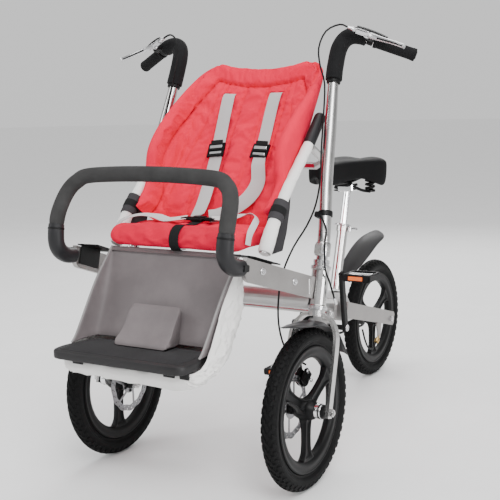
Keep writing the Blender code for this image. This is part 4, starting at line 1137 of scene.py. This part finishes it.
def cast_wheel(name):
    """The moulded rim with its three spokes and hub, and the bright sleeve of a front hub."""
    centre, body, side = WHEELS[name]
    matrix = wheel_matrix(centre, side)
    bm = bmesh.new()
    rim = [(0.1578, 0.0105), (0.1562, 0.015), (0.153, 0.016), (0.1505, 0.015), (0.144, 0.0142), (0.14, 0.015),
           (0.135, 0.0136), (0.129, 0.0098), (0.1268, 0.006)]
    lathe_into(bm, rim + [(r, -h) for r, h in rim[::-1]], matrix, 120)
    for angle in SPOKE_ANGLES:
        spoke_into(bm, matrix, angle if side > 0 else -angle)
    inner = 0.049 if name != "rear" else 0.034
    hub = [(0.0056, 0.049), (0.015, 0.049), (0.0175, 0.047), (0.0175, 0.03), (0.0205, 0.026),
           (0.0245, 0.0175),
           (0.0262, 0.011), (0.0262, -0.011), (0.0245, -0.0175), (0.0205, -0.026), (0.0175, -0.03),
           (0.0175, -inner + 0.002), (0.015, -inner), (0.0056, -inner)]
    lathe_into(bm, hub, matrix, 64)
    wheel = piece(f"cast_wheel_{name}", bm, "black_metal", body, 32)
    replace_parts(wheel, f"wheel_{name}")
    if name == "rear":
        return
    sleeve = [(0.0177, 0.03), (0.0188, 0.0303), (0.019, 0.0312), (0.019, 0.035), (0.0184, 0.0356),
              (0.0184, 0.0378),
              (0.019, 0.0384), (0.019, 0.0452), (0.0186, 0.046), (0.0177, 0.0462)]
    lathe(f"hub_sleeve_{name}", sleeve, centre, (side, 0, 0), "chrome", body, 64)
    lathe(f"hub_end_{name}", [(0.006, 0.0492), (0.0165, 0.0492), (0.017, 0.0497), (0.017, 0.0512),
                              (0.015, 0.052),
                              (0.006, 0.052)], centre, (side, 0, 0), "black", body, 48)


def nut(name, centre, axis, across, height, look, body):
    """A hexagon nut on a washer."""
    bm = bmesh.new()
    matrix = turn_matrix(centre, axis)
    lathe_into(bm, knob(across * 0.66, 0.0014, 0.0003), matrix, 40, False)
    lathe_into(bm, [(0, 0.0012), (across * 0.57, 0.0012), (across * 0.57, height * 0.9),
                    (across * 0.5, height),
                    (0, height)], matrix, 6, False)
    piece(name, bm, look, body, 25)


def wavy(radius, wave):
    """A circle with twelve shallow waves."""
    return [polar(radius + wave * math.cos(12 * t), t) for t in (2 * math.pi * i / 180 for i in range(180))]


def brake_rotor(name):
    """A thin wavy ring with slots, six curved arms and a bolted carrier."""
    centre, body, side = WHEELS[name]
    centre = centre - V(side * 0.04, 0, 0)
    matrix = wheel_matrix(centre, side)
    holes = []
    for i in range(24):
        t = 2 * math.pi * (i + 0.5) / 24
        for r, size in ((0.0735, 0.0026), (0.0675, 0.0021)):
            q = t + (0.06 if r > 0.07 else -0.02)
            u, v = polar(r, q)
            holes.append([(u + du, v + dv) for du, dv in circle(size, 12)])
    ring = flat(f"rotor_ring_{name}", [wavy(0.0785, 0.0014), wavy(0.0625, 0.0012)] + holes, 0.0018, matrix,
                "rotor", body, 0.0002)
    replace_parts(ring, f"brake_rotor_{name}")
    bm = bmesh.new()
    for i in range(6):
        t = 2 * math.pi * i / 6
        path = [matrix @ V(*polar(r, t + s), 0)
                for r, s in ((0.025, 0.0), (0.038, 0.16), (0.051, 0.25), (0.064, 0.3))]
        sweep_into(bm, smooth(path, 4), slab(0.007, 0.0017), None, V(side, 0, 0))
    carrier = [(0.018, 0.0009), (0.0292, 0.0009), (0.0296, 0.0004), (0.0296, -0.0004), (0.0292, -0.0009),
               (0.018, -0.0009)]
    lathe_into(bm, carrier, matrix, 64)
    piece(f"rotor_arms_{name}", bm, "rotor", body, 30)
    bm = bmesh.new()
    for i in range(6):
        t = 2 * math.pi * (i + 0.5) / 6
        place = matrix @ at((*polar(0.0235, t), -0.0042))
        lathe_into(bm, [(0, 0.0012), (0.0038, 0.0012), (0.0042, 0.0016), (0.0042, 0.0028), (0.0036, 0.0033),
                        (0, 0.0033)],
                   place, 20, False)
    piece(f"rotor_bolts_{name}", bm, "black_metal", body, 30)


def caliper_detail(name, side):
    """The mechanical caliper: two body halves, an arm, a cable clamp and its bolts."""
    body = f"steer_{name}"
    centre = P(side * (HALF_TRACK - 0.04), 0.061, 0.262)
    bm = bmesh.new()
    lean = Matrix.Rotation(math.radians(-45), 4, "X")
    for offset in (0.0095, -0.0095):
        box_into(bm, (0.0125, 0.03, 0.04), at(centre + V(side * offset, 0, 0)) @ lean, 0.004, 3)
    box_into(bm, (0.026, 0.012, 0.04), at(centre) @ lean @ at((0, 0.011, 0)), 0.003, 2)
    body_piece = piece(f"caliper_body_{name}", bm, "black_metal", body, 30)
    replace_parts(body_piece, f"brake_caliper_{name}")
    bm = bmesh.new()
    inboard = centre - V(side * 0.0155, 0, 0)
    lathe_into(bm, knob(0.0105, 0.006, 0.0012), turn_matrix(inboard, (-side, 0, 0)), 40, False)
    arm_path = smooth([inboard + V(-side * 0.0045, 0, 0), inboard + V(-side * 0.005, 0.01, 0.012),
                       inboard + V(-side * 0.0045, 0.02, 0.024)], 4)
    sweep_into(bm, arm_path, slab(0.01, 0.003), None, V(side, 0, 0))
    piece(f"caliper_arm_{name}", bm, "steel", body, 30)
    for k, (dy, dz) in enumerate(((-0.004, 0.016), (0.012, -0.01))):
        nut(f"caliper_bolt_{name}_{k}", centre + V(side * 0.0158, dy, dz), (side, 0, 0), 0.008, 0.004,
            "steel", body)


# Handles

STEM_ROUTE = [(0.289, 0.1058, 0.608), (0.2835, 0.124, 0.655), (0.27, 0.161, 0.75), (0.259, 0.206, 0.875),
              (0.248, 0.25, 0.996), (0.246, 0.267, 1.038), (0.2475, 0.283, 1.074), (0.257, 0.296, 1.097),
              (0.276, 0.303, 1.107), (0.3, 0.308, 1.105), (0.318, 0.3125, 1.098), (0.332, 0.318, 1.0915),
              (0.4265, 0.357, 1.054)]
# Places on the route where the foam starts and ends, the lever's clamp lies between and the grip starts
FOAM_FROM, FOAM_TO, CLAMP_AT, GRIP_AT = 4, 9, 10, 11
STEER_LEAN = math.radians(14)
STEER_AXIS = V(0, math.sin(STEER_LEAN), math.cos(STEER_LEAN))


def stem_span(side, first, last):
    """The stem's smooth path from one place on its route to another, with eight steps in each stretch."""
    return smooth([mirror_x(P(*p), side) for p in STEM_ROUTE], 8)[first * 8 : last * 8 + 1]


def steer_place(side, along):
    """A point on the steering axis, so far above the middle of the head tube."""
    return P(side * HALF_TRACK, 0.076, 0.489) + STEER_AXIS * along


def ring_on(name, path_a, path_b, inner, outer, look, body, edge=0.001):
    axis = path_b - path_a
    length = axis.length
    profile = [(inner, 0), (outer - edge, 0), (outer, edge), (outer, length - edge), (outer - edge, length),
               (inner, length)]
    lathe(name, profile, path_a, axis, look, body, 56)


def handle(name, side):
    """The stem with its foam cover, grip, plug, collar, lock ring, bearing cups, lug and cable bands."""
    body = f"steer_{name}"
    lower = [steer_place(side, 0.086), steer_place(side, 0.104)] + stem_span(side, 0, 9)
    tube_scale = [1.0 if i < 26 else lerp(1.0, 0.7, min(1.0, (i - 26) / 12)) for i in range(len(lower))]
    upper = stem_span(side, 9, 12)
    sizes = tube_scale + [0.6875] * (len(upper) - 1)
    path = lower + upper[1:]
    tube_piece = sweep(f"stem_tube_{name}", path, circle(0.016, 36), "silver", body, sizes)
    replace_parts(tube_piece, f"stem_{name}")
    sleeve = stem_span(side, FOAM_FROM, FOAM_TO + 1)[:-2]
    ahead = (sleeve[1] - sleeve[0]).normalized()
    behind = (sleeve[-1] - sleeve[-2]).normalized()
    sleeve = [sleeve[0] - ahead * 0.0004, sleeve[0]] + sleeve + [sleeve[-1] + behind * 0.0006]
    bulges = [1 + 0.012 * noise.noise(V(i * 0.5, side, 0)) for i in range(len(sleeve) - 5)]
    scale = [0.86, 0.97, 1.0] + bulges + [0.97, 0.86]
    foam_piece = sweep(f"foam_sleeve_{name}", sleeve, circle(0.0215, 40), "foam", body, scale)
    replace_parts(foam_piece, f"foam_cover_{name}")
    grip_path = stem_span(side, GRIP_AT, 12)
    axis = (grip_path[-1] - grip_path[0]).normalized()
    length = (grip_path[-1] - grip_path[0]).length
    profile = [(0.0112, -0.001), (0.0168, -0.001), (0.0172, 0.001), (0.0172, 0.0052), (0.016, 0.0068)]
    y = 0.01
    while y < length - 0.014:
        profile += [(0.016, y), (0.0156, y + 0.0006), (0.0156, y + 0.0018), (0.016, y + 0.0024)]
        y += 0.005
    profile += [(0.016, length - 0.01), (0.0165, length - 0.008), (0.0165, length - 0.001),
                (0.015, length + 0.001),
                (0.0112, length + 0.001)]
    grip_piece = lathe(f"rubber_grip_{name}", profile, grip_path[0], axis, "foam", body, 56)
    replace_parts(grip_piece, f"grip_{name}")
    lathe(f"bar_plug_{name}", [(0, length + 0.003), (0.009, length + 0.003), (0.0108, length + 0.0018),
                               (0.011, length + 0.0002), (0, length + 0.0002)], grip_path[0], axis, "black",
          body, 40, False)
    # The stem's foot: clamp, lock nut, cup rings and the clamp bolt
    profile = [(0.0162, 0.078), (0.0188, 0.078), (0.0194, 0.0788), (0.0194, 0.0868), (0.0188, 0.0876),
               (0.0188, 0.0884),
               (0.0194, 0.0892), (0.0194, 0.108), (0.019, 0.109), (0.0162, 0.112)]
    lathe(f"stem_collar_{name}", profile, steer_place(side, 0), STEER_AXIS, "silver", body, 56)
    profile = [(0.0146, 0.0536), (0.019, 0.0536), (0.02, 0.0545), (0.02, 0.0578), (0.0192, 0.0585),
               (0.0192, 0.06),
               (0.0205, 0.0607), (0.0205, 0.067), (0.0196, 0.068), (0.0146, 0.068)]
    lathe(f"lock_ring_{name}", profile, steer_place(side, 0), STEER_AXIS, "steel", body, 56)
    for k, (low, high) in enumerate(((-0.0545, -0.0475), (0.0455, 0.0531))):
        profile = [(0.0216, low), (0.0244, low), (0.0252, low + 0.0008), (0.0252, high - 0.0008),
                   (0.0244, high),
                   (0.0216, high)]
        lathe(f"cup_ring_{name}_{k}", profile, steer_place(side, 0), STEER_AXIS, "steel", "frame", 56)
    lathe(f"steerer_{name}", [(0, 0.05), (0.0143, 0.05), (0.0143, 0.085), (0, 0.085)], steer_place(side, 0),
          STEER_AXIS, "steel", body, 48, False)
    front = V(0, -STEER_AXIS.z, STEER_AXIS.y)
    lug = basis(steer_place(side, 0.0925) + front * 0.0225, (1, 0, 0), STEER_AXIS)
    box(f"stem_lug_{name}", (0.02, 0.03, 0.015), lug, "silver", body, 0.0035, 3)
    for k, along in enumerate((0.0845, 0.1)):
        spot = steer_place(side, along) + front * 0.0245
        nut(f"stem_bolt_{name}_{k}", spot + V(side * 0.0105, 0, 0), (side, 0, 0), 0.0075, 0.0042, "steel",
            body)
    # Cable guides
    low = stem_span(side, 1, 2)
    spot = low[1]
    along = (low[2] - low[0]).normalized()
    ring_on(f"cable_band_{name}", spot - along * 0.007, spot + along * 0.007, 0.0161, 0.0186, "black", body)
    box(f"cable_band_lug_{name}", (0.016, 0.014, 0.022), basis(spot + V(-side * 0.008, -0.02, 0), (1, 0, 0),
                                                               along),
        "black", body, 0.002)
    spot = stem_span(side, FOAM_FROM, FOAM_TO)[0] - ahead * 0.0062
    ring_on(f"foam_end_ring_{name}", spot - ahead * 0.004, spot + ahead * 0.004, 0.015, 0.0178, "black", body)


HANDLE_OUT = V(0.0945, 0.039, -0.0375).normalized()
LEVER_PIVOT, LEVER_TIP = V(0.33, 0.276, 1.108), V(0.436, 0.263, 1.073)


def brake_lever(name, side):
    """The silver blade with a dark insert, its perch, clamp, top strip and adjuster."""
    steer, blade_body = f"steer_{name}", f"lever_{name}"
    out = mirror_x(HANDLE_OUT, side)
    normal = mirror_x(HANDLE_OUT.cross(V(0, 1, 0.2)).normalized(), side)
    if normal.z < 0:
        normal = -normal
    pivot = mirror_x(P(*LEVER_PIVOT), side)
    tip = mirror_x(P(*LEVER_TIP), side)
    ahead = normal.cross(out).normalized()
    if ahead.y > 0:
        ahead = -ahead
    run = tip - pivot
    route = [pivot + ahead * 0.001, pivot + run * 0.14 + ahead * 0.0065, pivot + run * 0.42 + ahead * 0.005,
             pivot + run * 0.72 + ahead * 0.002, pivot + run * 0.93 + ahead * 0.0035, tip + ahead * 0.004]
    path = smooth(route, 6)
    n = len(path)
    scale = [(1.0, lerp(1.25, 0.85, min(1.0, i / (n * 0.5)))) for i in range(n)]
    scale[-1] = (1.25, 1.05)
    blade = sweep(f"lever_blade_{name}", path, slab(0.006, 0.013, 0.24), "steel", blade_body, scale, normal)
    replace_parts(blade, f"brake_lever_{name}")
    insert = path[int(n * 0.32): int(n * 0.86)]
    sweep(f"lever_insert_{name}", [p + ahead * 0.003 for p in insert], slab(0.0012, 0.0046, 0.2), "black",
          blade_body,
          up=normal)
    bm = bmesh.new()
    for height in (0.0058, -0.0058 - 0.0032):
        lathe_into(bm, knob(0.0078, 0.0032, 0.0006), turn_matrix(pivot + normal * height, normal), 32, False)
    lathe_into(bm, knob(0.0034, 0.021, 0.0005), turn_matrix(pivot - normal * 0.0105, normal), 24, False)
    piece(f"lever_pivot_{name}", bm, "steel", steer, 30)
    handle_points = [mirror_x(P(*STEM_ROUTE[k]), side) for k in (CLAMP_AT, GRIP_AT)]
    spot = handle_points[0].lerp(handle_points[1], 0.35)
    axis = (handle_points[1] - handle_points[0]).normalized()
    ring_on(f"lever_clamp_{name}", spot - axis * 0.0075, spot + axis * 0.0075, 0.0112, 0.0152, "black", steer)
    toward = pivot - spot
    toward -= axis * toward.dot(axis)
    middle = spot + toward * 0.45
    perch = box(f"lever_perch_{name}", (0.03, 0.034, 0.018), basis(middle - axis * 0.002, axis, toward),
                "black", steer, 0.0045, 3)
    barrel = pivot - out * 0.006
    box(f"lever_body_{name}", (0.042, 0.013, 0.015), basis(barrel - out * 0.006, out, ahead), "steel", steer,
        0.0038, 3)
    lathe(f"barrel_adjuster_{name}",
          [(0.0028, 0), (0.005, 0), (0.0055, 0.001), (0.0055, 0.009), (0.0048, 0.01), (0.0048, 0.012),
           (0.004, 0.0125),
           (0.004, 0.019), (0.0028, 0.02)], barrel - out * 0.0268, -out, "steel", steer, 32)
    strip = [barrel - out * 0.024 + normal * 0.0098, barrel + normal * 0.0108,
             pivot + out * 0.02 + normal * 0.0102,
             pivot + out * 0.052 + normal * 0.0072]
    sweep(f"lever_guard_{name}", smooth(strip, 5), slab(0.015, 0.003), "black", steer, up=normal)
    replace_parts(perch, f"lever_mount_{name}")


# Bumper

BUMPER_ROUTE = [(0.243, -0.2118, 0.5775), (0.241, -0.244, 0.5835), (0.24, -0.269, 0.601),
                (0.2405, -0.276, 0.63),
                (0.2415, -0.264, 0.683), (0.234, -0.238, 0.733), (0.213, -0.2205, 0.762),
                (0.17, -0.214, 0.7765),
                (0, -0.214, 0.7825)]


def bumper():
    """The bar's foam cover and its two hard elbows, with the joint and the latch at each."""
    half = [P(*p) for p in BUMPER_ROUTE]
    path = smooth(half + [mirror_x(p, -1) for p in half[-2::-1]], 10)
    split = 36
    ends_of = {"left": path[: split + 1], "right": path[len(path) - split - 1:][::-1]}
    foam_path = path[split : len(path) - split]
    inner = sweep("bumper_sleeve", foam_path, circle(0.0185, 40), "pad", "bumper",
                  [0.93, 0.985] + [1.0] * (len(foam_path) - 4) + [0.985, 0.93])
    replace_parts(inner, "bumper_foam")
    bm = bmesh.new()
    for ends in ends_of.values():
        n = len(ends)
        sizes = [1.0 if i < n - 4 else lerp(1.0, 0.96, (i - n + 4) / 3) for i in range(n)]
        sizes[0], sizes[1] = 0.9, 0.98
        sweep_into(bm, ends, circle(0.0197, 40), sizes)
    elbows = piece("bumper_elbows", bm, "dark", "bumper", 50)
    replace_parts(elbows, "bumper_bar")
    for name, ends in ends_of.items():
        seam = ends[-3]
        along = (ends[-2] - ends[-4]).normalized()
        ring_on(f"bumper_joint_{name}", seam - along * 0.0015, seam + along * 0.0035, 0.018, 0.0203, "black",
                "bumper", 0.0008)
        foot = ends[3]
        box(f"bumper_latch_{name}", (0.004, 0.024, 0.016),
            basis(foot + V(SIDES[name] * 0.0188, 0, 0), (1, 0, 0), ends[5] - ends[1]), "black", "bumper",
            0.0015)


def arm_fasteners():
    """Bolts through the side arms and the seat's mounting plates."""
    rear, front = P(0.2825, 0.052, 0.492), P(0.2455, -0.2095, 0.5748)
    run = front - rear
    normal = V(0, 0, 1).cross(run).normalized()
    for name, side in SIDES.items():
        face = mirror_x(normal if normal.x > 0 else -normal, side)
        for k, (t, up) in enumerate(((0.3, 0.002), (0.76, 0.006))):
            spot = mirror_x(rear.lerp(front, t), side) + V(0, 0, up) + face * 0.0062
            lathe(f"arm_bolt_{name}_{k}", [(0, 0), (0.0085, 0), (0.0088, 0.0008), (0.008, 0.0018),
                                           (0.0058, 0.002),
                                           (0.0055, 0.0046), (0.003, 0.0046), (0.0028, 0.0026), (0, 0.0026)],
                  spot, face, "steel", "frame", 40, False)
        spot = mirror_x(rear.lerp(front, 0.075), side) + face * 0.005
        bead = [spot + V(0, 0, step * 0.0019) for step in range(-10, 11)]
        sweep(f"arm_weld_{name}", bead, circle(0.003, 12), "silver", "frame",
              [1 + 0.14 * (step % 2) for step in range(21)])


# Saddle and drive

CRANK_AT = P(0, 0.648, 0.251)
# Distance back, half the width, height of the top and depth
SADDLE_TABLE = [(0.619, 0.008, 0.738, 0.022), (0.624, 0.02, 0.7445, 0.04), (0.64, 0.027, 0.749, 0.054),
                (0.7, 0.034, 0.753, 0.068), (0.77, 0.044, 0.756, 0.064), (0.83, 0.067, 0.758, 0.062),
                (0.88, 0.092, 0.761, 0.08), (0.922, 0.103, 0.7625, 0.094), (0.952, 0.093, 0.761, 0.088),
                (0.968, 0.066, 0.756, 0.062), (0.973, 0.032, 0.749, 0.034)]


def saddle():
    """A padded saddle with two rear lobes and a centre groove, on a tray, rails and two springs."""
    rows, points = [], 56
    for y, half, top, depth in smooth(SADDLE_TABLE, 7):
        row = []
        wide = max(0.0, (half - 0.05) / 0.05)
        for k in range(points):
            a = 2 * math.pi * k / points
            c, s = math.cos(a), math.sin(a)
            x = half * math.copysign(abs(c) ** 0.72, c)
            if s >= 0:
                z = top - depth * 0.34 + depth * 0.34 * s ** 0.62
                slot = 0.0018 * math.exp(-((x / 0.008) ** 2)) * (y > 0.66)
                z -= 0.01 * wide * math.exp(-((x / 0.03) ** 2)) + slot
            else:
                t = abs(s)
                arch = max(0.0, (t - 0.62) / 0.38)
                x = half * math.copysign(abs(c) ** 0.62, c)
                z = top - depth * 0.34 - depth * 0.66 * math.sin(math.pi / 2 * min(1.0,
                    t / 0.62)) * (1 - 0.42 * arch)
            row.append(P(x, y, z))
        rows.append(row)
    bm = bmesh.new()
    skin(bm, rows)
    cover = piece("saddle_top", bm, "saddle", "saddle_post", 60)
    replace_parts(cover, "saddle")
    tray = [(half * 0.52, y - SHIFT) for y, half, _, _ in SADDLE_TABLE[3:9]]
    flat("saddle_tray", [tray + [(-x, y) for x, y in tray[::-1]]], 0.016, at((0, 0, 0.7005)), "black",
         "saddle_post", 0.003)
    spring_x, spring_y, turns, steps = 0.056, 0.905, 4, 20
    for name, side in SIDES.items():
        rail = [P(side * 0.01, 0.648, 0.712), P(side * 0.018, 0.69, 0.69), P(side * 0.021, 0.76, 0.686),
                P(side * 0.021, 0.84, 0.686), P(side * 0.03, 0.885, 0.694), P(side * 0.05, 0.915, 0.706)]
        sweep(f"saddle_rail_{name}", smooth(rail, 6), circle(0.0042, 16), "black_metal", "saddle_post")
        coil = []
        for k in range(turns * steps + 1):
            u, v = polar(0.0125, 2 * math.pi * k / steps)
            coil.append(P(side * spring_x + u, spring_y + v, 0.652 + 0.052 * k / (turns * steps)))
        sweep(f"saddle_spring_{name}", coil, circle(0.0046, 12), "black_metal", "saddle_post")
        bm = bmesh.new()
        for z in (0.6485, 0.7035):
            lathe_into(bm, knob(0.0175, 0.0035, 0.0008), at(P(side * spring_x, spring_y, z)), 36, False)
        piece(f"spring_caps_{name}", bm, "black_metal", "saddle_post", 30)
        strut = [P(side * spring_x, spring_y, 0.649), P(side * 0.04, 0.878, 0.655),
                 P(side * 0.021, 0.845, 0.67)]
        sweep(f"spring_strut_{name}", smooth(strut, 5), circle(0.0048, 14), "black_metal", "saddle_post")
    clamp = 0.818, 0.682
    box("rail_clamp", (0.052, 0.034, 0.022), at(P(0, *clamp)), "black_metal", "saddle_post", 0.004, 3)
    for name, side in SIDES.items():
        nut(f"rail_clamp_nut_{name}", P(side * 0.026, *clamp), (side, 0, 0), 0.01, 0.006, "black_metal",
            "saddle_post")


def pedal_detail(name):
    """An open cage pedal with a silver centre, teeth and amber reflectors."""
    low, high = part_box(f"pedal_{name}")
    centre = (Vector(low) + Vector(high)) / 2
    body = f"pedal_body_{name}"
    bm = bmesh.new()
    for y in (-0.037, 0.037):
        box_into(bm, (0.088, 0.011, 0.022), at(centre + V(0, y, 0)), 0.003, 2)
    for x in (-0.04, 0.04):
        box_into(bm, (0.011, 0.08, 0.021), at(centre + V(x, 0, 0)), 0.003, 2)
    for x in (-0.02, 0, 0.02):
        for y in (-0.037, 0.037):
            box_into(bm, (0.006, 0.01, 0.0235), at(centre + V(x, y, 0)), 0.001, 1)
    cage = piece(f"pedal_cage_{name}", bm, "black", body, 30)
    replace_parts(cage, f"pedal_{name}")
    profile = [(0.0062, -0.038), (0.0115, -0.038), (0.012, -0.034), (0.0095, -0.02), (0.0095, 0.02),
               (0.012, 0.034),
               (0.0115, 0.038), (0.0062, 0.038)]
    lathe(f"pedal_barrel_{name}", profile, centre, (1, 0, 0), "steel", body, 40)
    bm = bmesh.new()
    for y in (-0.0185, 0.0185):
        box_into(bm, (0.066, 0.002, 0.015), at(centre + V(0, y, 0)), 0.0007, 1)
    piece(f"pedal_plates_{name}", bm, "steel", body, 30)
    for y in (-0.0432, 0.0432):
        box(f"pedal_reflector_{name}_{'front' if y < 0 else 'rear'}", (0.046, 0.0022, 0.012),
            at(centre + V(0, y, 0)), "amber", body, 0.0008)


# The chain's middle plane
CHAIN_LINE = -0.04


def chain_links():
    """A roller chain: outer and inner plates in turn, and a roller at each pin."""
    front, rear = CRANK_AT, P(0, WHEELBASE, HUB_HEIGHT)
    run = rear - front
    big, small, pitch = 0.0647, 0.0347, 0.0127
    lean = math.atan2(run.z, run.y)
    spread = math.acos((big - small) / run.length)
    loop = []
    for step in range(25):
        angle = lean + spread + (2 * math.pi - 2 * spread) * step / 24
        loop.append(front + V(CHAIN_LINE, *polar(big, angle)))
    for step in range(17):
        angle = lean - spread + 2 * spread * step / 16
        loop.append(rear + V(CHAIN_LINE, *polar(small, angle)))
    length = sum((b - a).length for a, b in zip(loop, loop[1:] + loop[:1]))
    count = 2 * round(length / pitch / 2)
    pins = resample(loop + loop[:1], count + 1)[:-1]
    bm = bmesh.new()
    for i, pin in enumerate(pins):
        following = pins[(i + 1) % count]
        along = (following - pin).normalized()
        for side in (1, -1):
            shift = V(side * (0.003 if i % 2 else 0.0021), 0, 0)
            matrix = basis((pin + following) / 2 + shift, along, (1, 0, 0))
            box_into(bm, ((following - pin).length + 0.0062, 0.0009, 0.0058), matrix, 0.0004, 1)
        lathe_into(bm, knob(0.0024, 0.0074, 0.0003), turn_matrix(pin - V(0.0037, 0, 0), (1, 0, 0)), 12, False)
    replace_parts(piece("chain_links", bm, "black_metal", "frame", 30), "chain")


def rear_blade():
    """The rear mudguard: a spoon-shaped blade with a rolled edge."""
    spine = smooth([P(0, 0.804, 0.372), P(0, 0.88, 0.418), P(0, 0.985, 0.47), P(0, 1.084, 0.498)], 12)
    rows = []
    for i, p in enumerate(spine):
        t = i / (len(spine) - 1)
        half = 0.018 + 0.0235 * math.sin(math.pi / 2 * min(1.0, t / 0.62))
        half *= math.sqrt(max(0.03, 1 - max(0.0, (t - 0.84) / 0.165) ** 2))
        row = []
        for k in range(21):
            u = k / 10 - 1
            drop = 0.013 * u * u * (half / 0.04)
            row.append(p + V(u * half, 0, 0) + V(0, 0.45, -0.89) * drop)
        rows.append(row)
    bm = bmesh.new()
    skin(bm, rows, False)
    blade = piece("rear_mudguard_blade", bm, "board", "frame", 60)
    thicken(blade, 0.003)
    edge = blade.modifiers.new("edge", "BEVEL")
    edge.width = 0.0009
    edge.segments = 2
    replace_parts(blade, "rear_mudguard")


def drive_details():
    """The freewheel body, the chainring's bolts and the crank bolts."""
    hub = P(0, WHEELBASE, HUB_HEIGHT)
    lathe("freewheel_body", [(0.006, -0.048), (0.016, -0.048), (0.0175, -0.047), (0.0175, -0.042),
                             (0.006, -0.042)],
          hub, (1, 0, 0), "steel", "freewheel_sprocket", 48)
    for name, side in SIDES.items():
        lathe(f"crank_bolt_{name}", [(0, 0), (0.01, 0), (0.0105, 0.0006), (0.01, 0.002), (0.006, 0.0022),
                                     (0.0056, 0.001), (0, 0.001)], CRANK_AT + V(side * 0.0935, 0, 0),
              (side, 0, 0),
              "steel", "cranks", 40, False)
    bm = bmesh.new()
    for k in range(5):
        spot = CRANK_AT + V(CHAIN_LINE - 0.0018, *polar(0.03, 2 * math.pi * (k + 0.5) / 5))
        lathe_into(bm, knob(0.005, 0.0018, 0.0005), turn_matrix(spot, (-1, 0, 0)), 24, False)
    piece("chainring_bolts", bm, "steel", "cranks", 30)


def rear_brake():
    """The rear brake: its cable from the left stem's clip to a stop, and its bracket and screw."""
    beside, ahead = V(0.86, 0.51, 0), V(0.51, -0.86, 0)
    clip = stem_span(1, 1, 2)[1]
    route = [clip + V(-0.004, -0.023, 0.004), steer_place(1, 0.15) + ahead * 0.03,
             steer_place(1, 0.112) + ahead * 0.0375, steer_place(1, 0.074) + ahead * 0.0375 + beside * 0.004,
             steer_place(1, 0.046) + ahead * 0.0325 + beside * 0.009,
             steer_place(1, 0.021) + ahead * 0.023 + beside * 0.021,
             steer_place(1, -0.006) + ahead * 0.01 + beside * 0.032, steer_place(1, -0.03) + beside * 0.0415]
    path = smooth(route, 6)
    lead = (path[-1] - path[-2]).normalized()
    cable = sweep("rear_brake_cable", path, circle(0.0024, 16), "black", None)
    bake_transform(cable)
    lathe("cable_stop", [(0, -0.003), (0.004, -0.003), (0.0044, -0.0025), (0.0044, 0.013), (0.0036, 0.014),
                         (0, 0.014)],
          path[-1], lead, "steel", "frame", 32, False)
    box("cable_stop_tab", (0.023, 0.003, 0.011), basis(steer_place(1, -0.034) + beside * 0.03, beside, ahead),
        "silver",
        "frame", 0.001)
    arm = P(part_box("rear_arm_left")[1][0] - 0.004, 0.955, lerp(CRANK_AT.z, HUB_HEIGHT, 0.52))
    flat("rear_brake_bracket",
         [[(-0.02, 0.026), (0.022, 0.026), (0.019, 0.000), (0.012, -0.028), (-0.006, -0.028),
                                 (-0.008, -0.006)]], 0.004, basis(arm - V(0, 0, 0.046), (0, 1, 0), (0, 0, 1)),
         "arm", "frame",
         0.0008)
    screw = arm + V(0, -0.02, -0.084)
    lathe("rear_brake_screw", [(0, 0), (0.005, 0), (0.0082, 0.0012), (0.0082, 0.013), (0.0056, 0.0142),
                               (0.0056, 0.019),
                               (0.0034, 0.02), (0.0034, 0.032), (0, 0.032)], screw, (0, 0.75, 0.66), "brass",
          "frame",
          32, False)
    loop = [arm + V(-0.004, -0.12, -0.02), arm + V(0, -0.108, -0.058), arm + V(0, -0.08, -0.09),
            arm + V(0, -0.046, -0.096), screw + V(0, 0.004, 0.003)]
    sweep("rear_brake_lead", smooth(loop, 8), circle(0.003, 16), "black", "frame")
    # A collar ring a little above the seat tube's top, along its axis
    axis = V(0, 0.29276, 0.95619)
    collar = V(0, 0.3777, 0.5339) + axis * 0.01
    lathe("post_collar", [(0.0165, 0), (0.025, 0), (0.0258, 0.0008), (0.0258, 0.0042), (0.025, 0.005),
                          (0.0165, 0.005)],
          collar, axis, "steel", "frame", 48)


def arm_edges():
    """Eased edges on the plates and clamps that come straight from the frame."""
    for name in both_sides("side_arm_* rear_arm_* crank_left seatpost_lever seat_bracket_*"):
        edge = NODES[name].modifiers.new("edge", "BEVEL")
        edge.width = 0.0008
        edge.segments = 2
        edge.limit_method = "ANGLE"
        edge.angle_limit = math.radians(50)


for wheel_name in WHEELS:
    tyre_pieces(wheel_name)
    cast_wheel(wheel_name)
for side_name, sign in SIDES.items():
    brake_rotor(side_name)
    caliper_detail(side_name, sign)
    handle(side_name, sign)
    brake_lever(side_name, sign)
    pedal_detail(side_name)
bumper()
arm_fasteners()
saddle()
chain_links()
rear_blade()
drive_details()
rear_brake()
arm_edges()
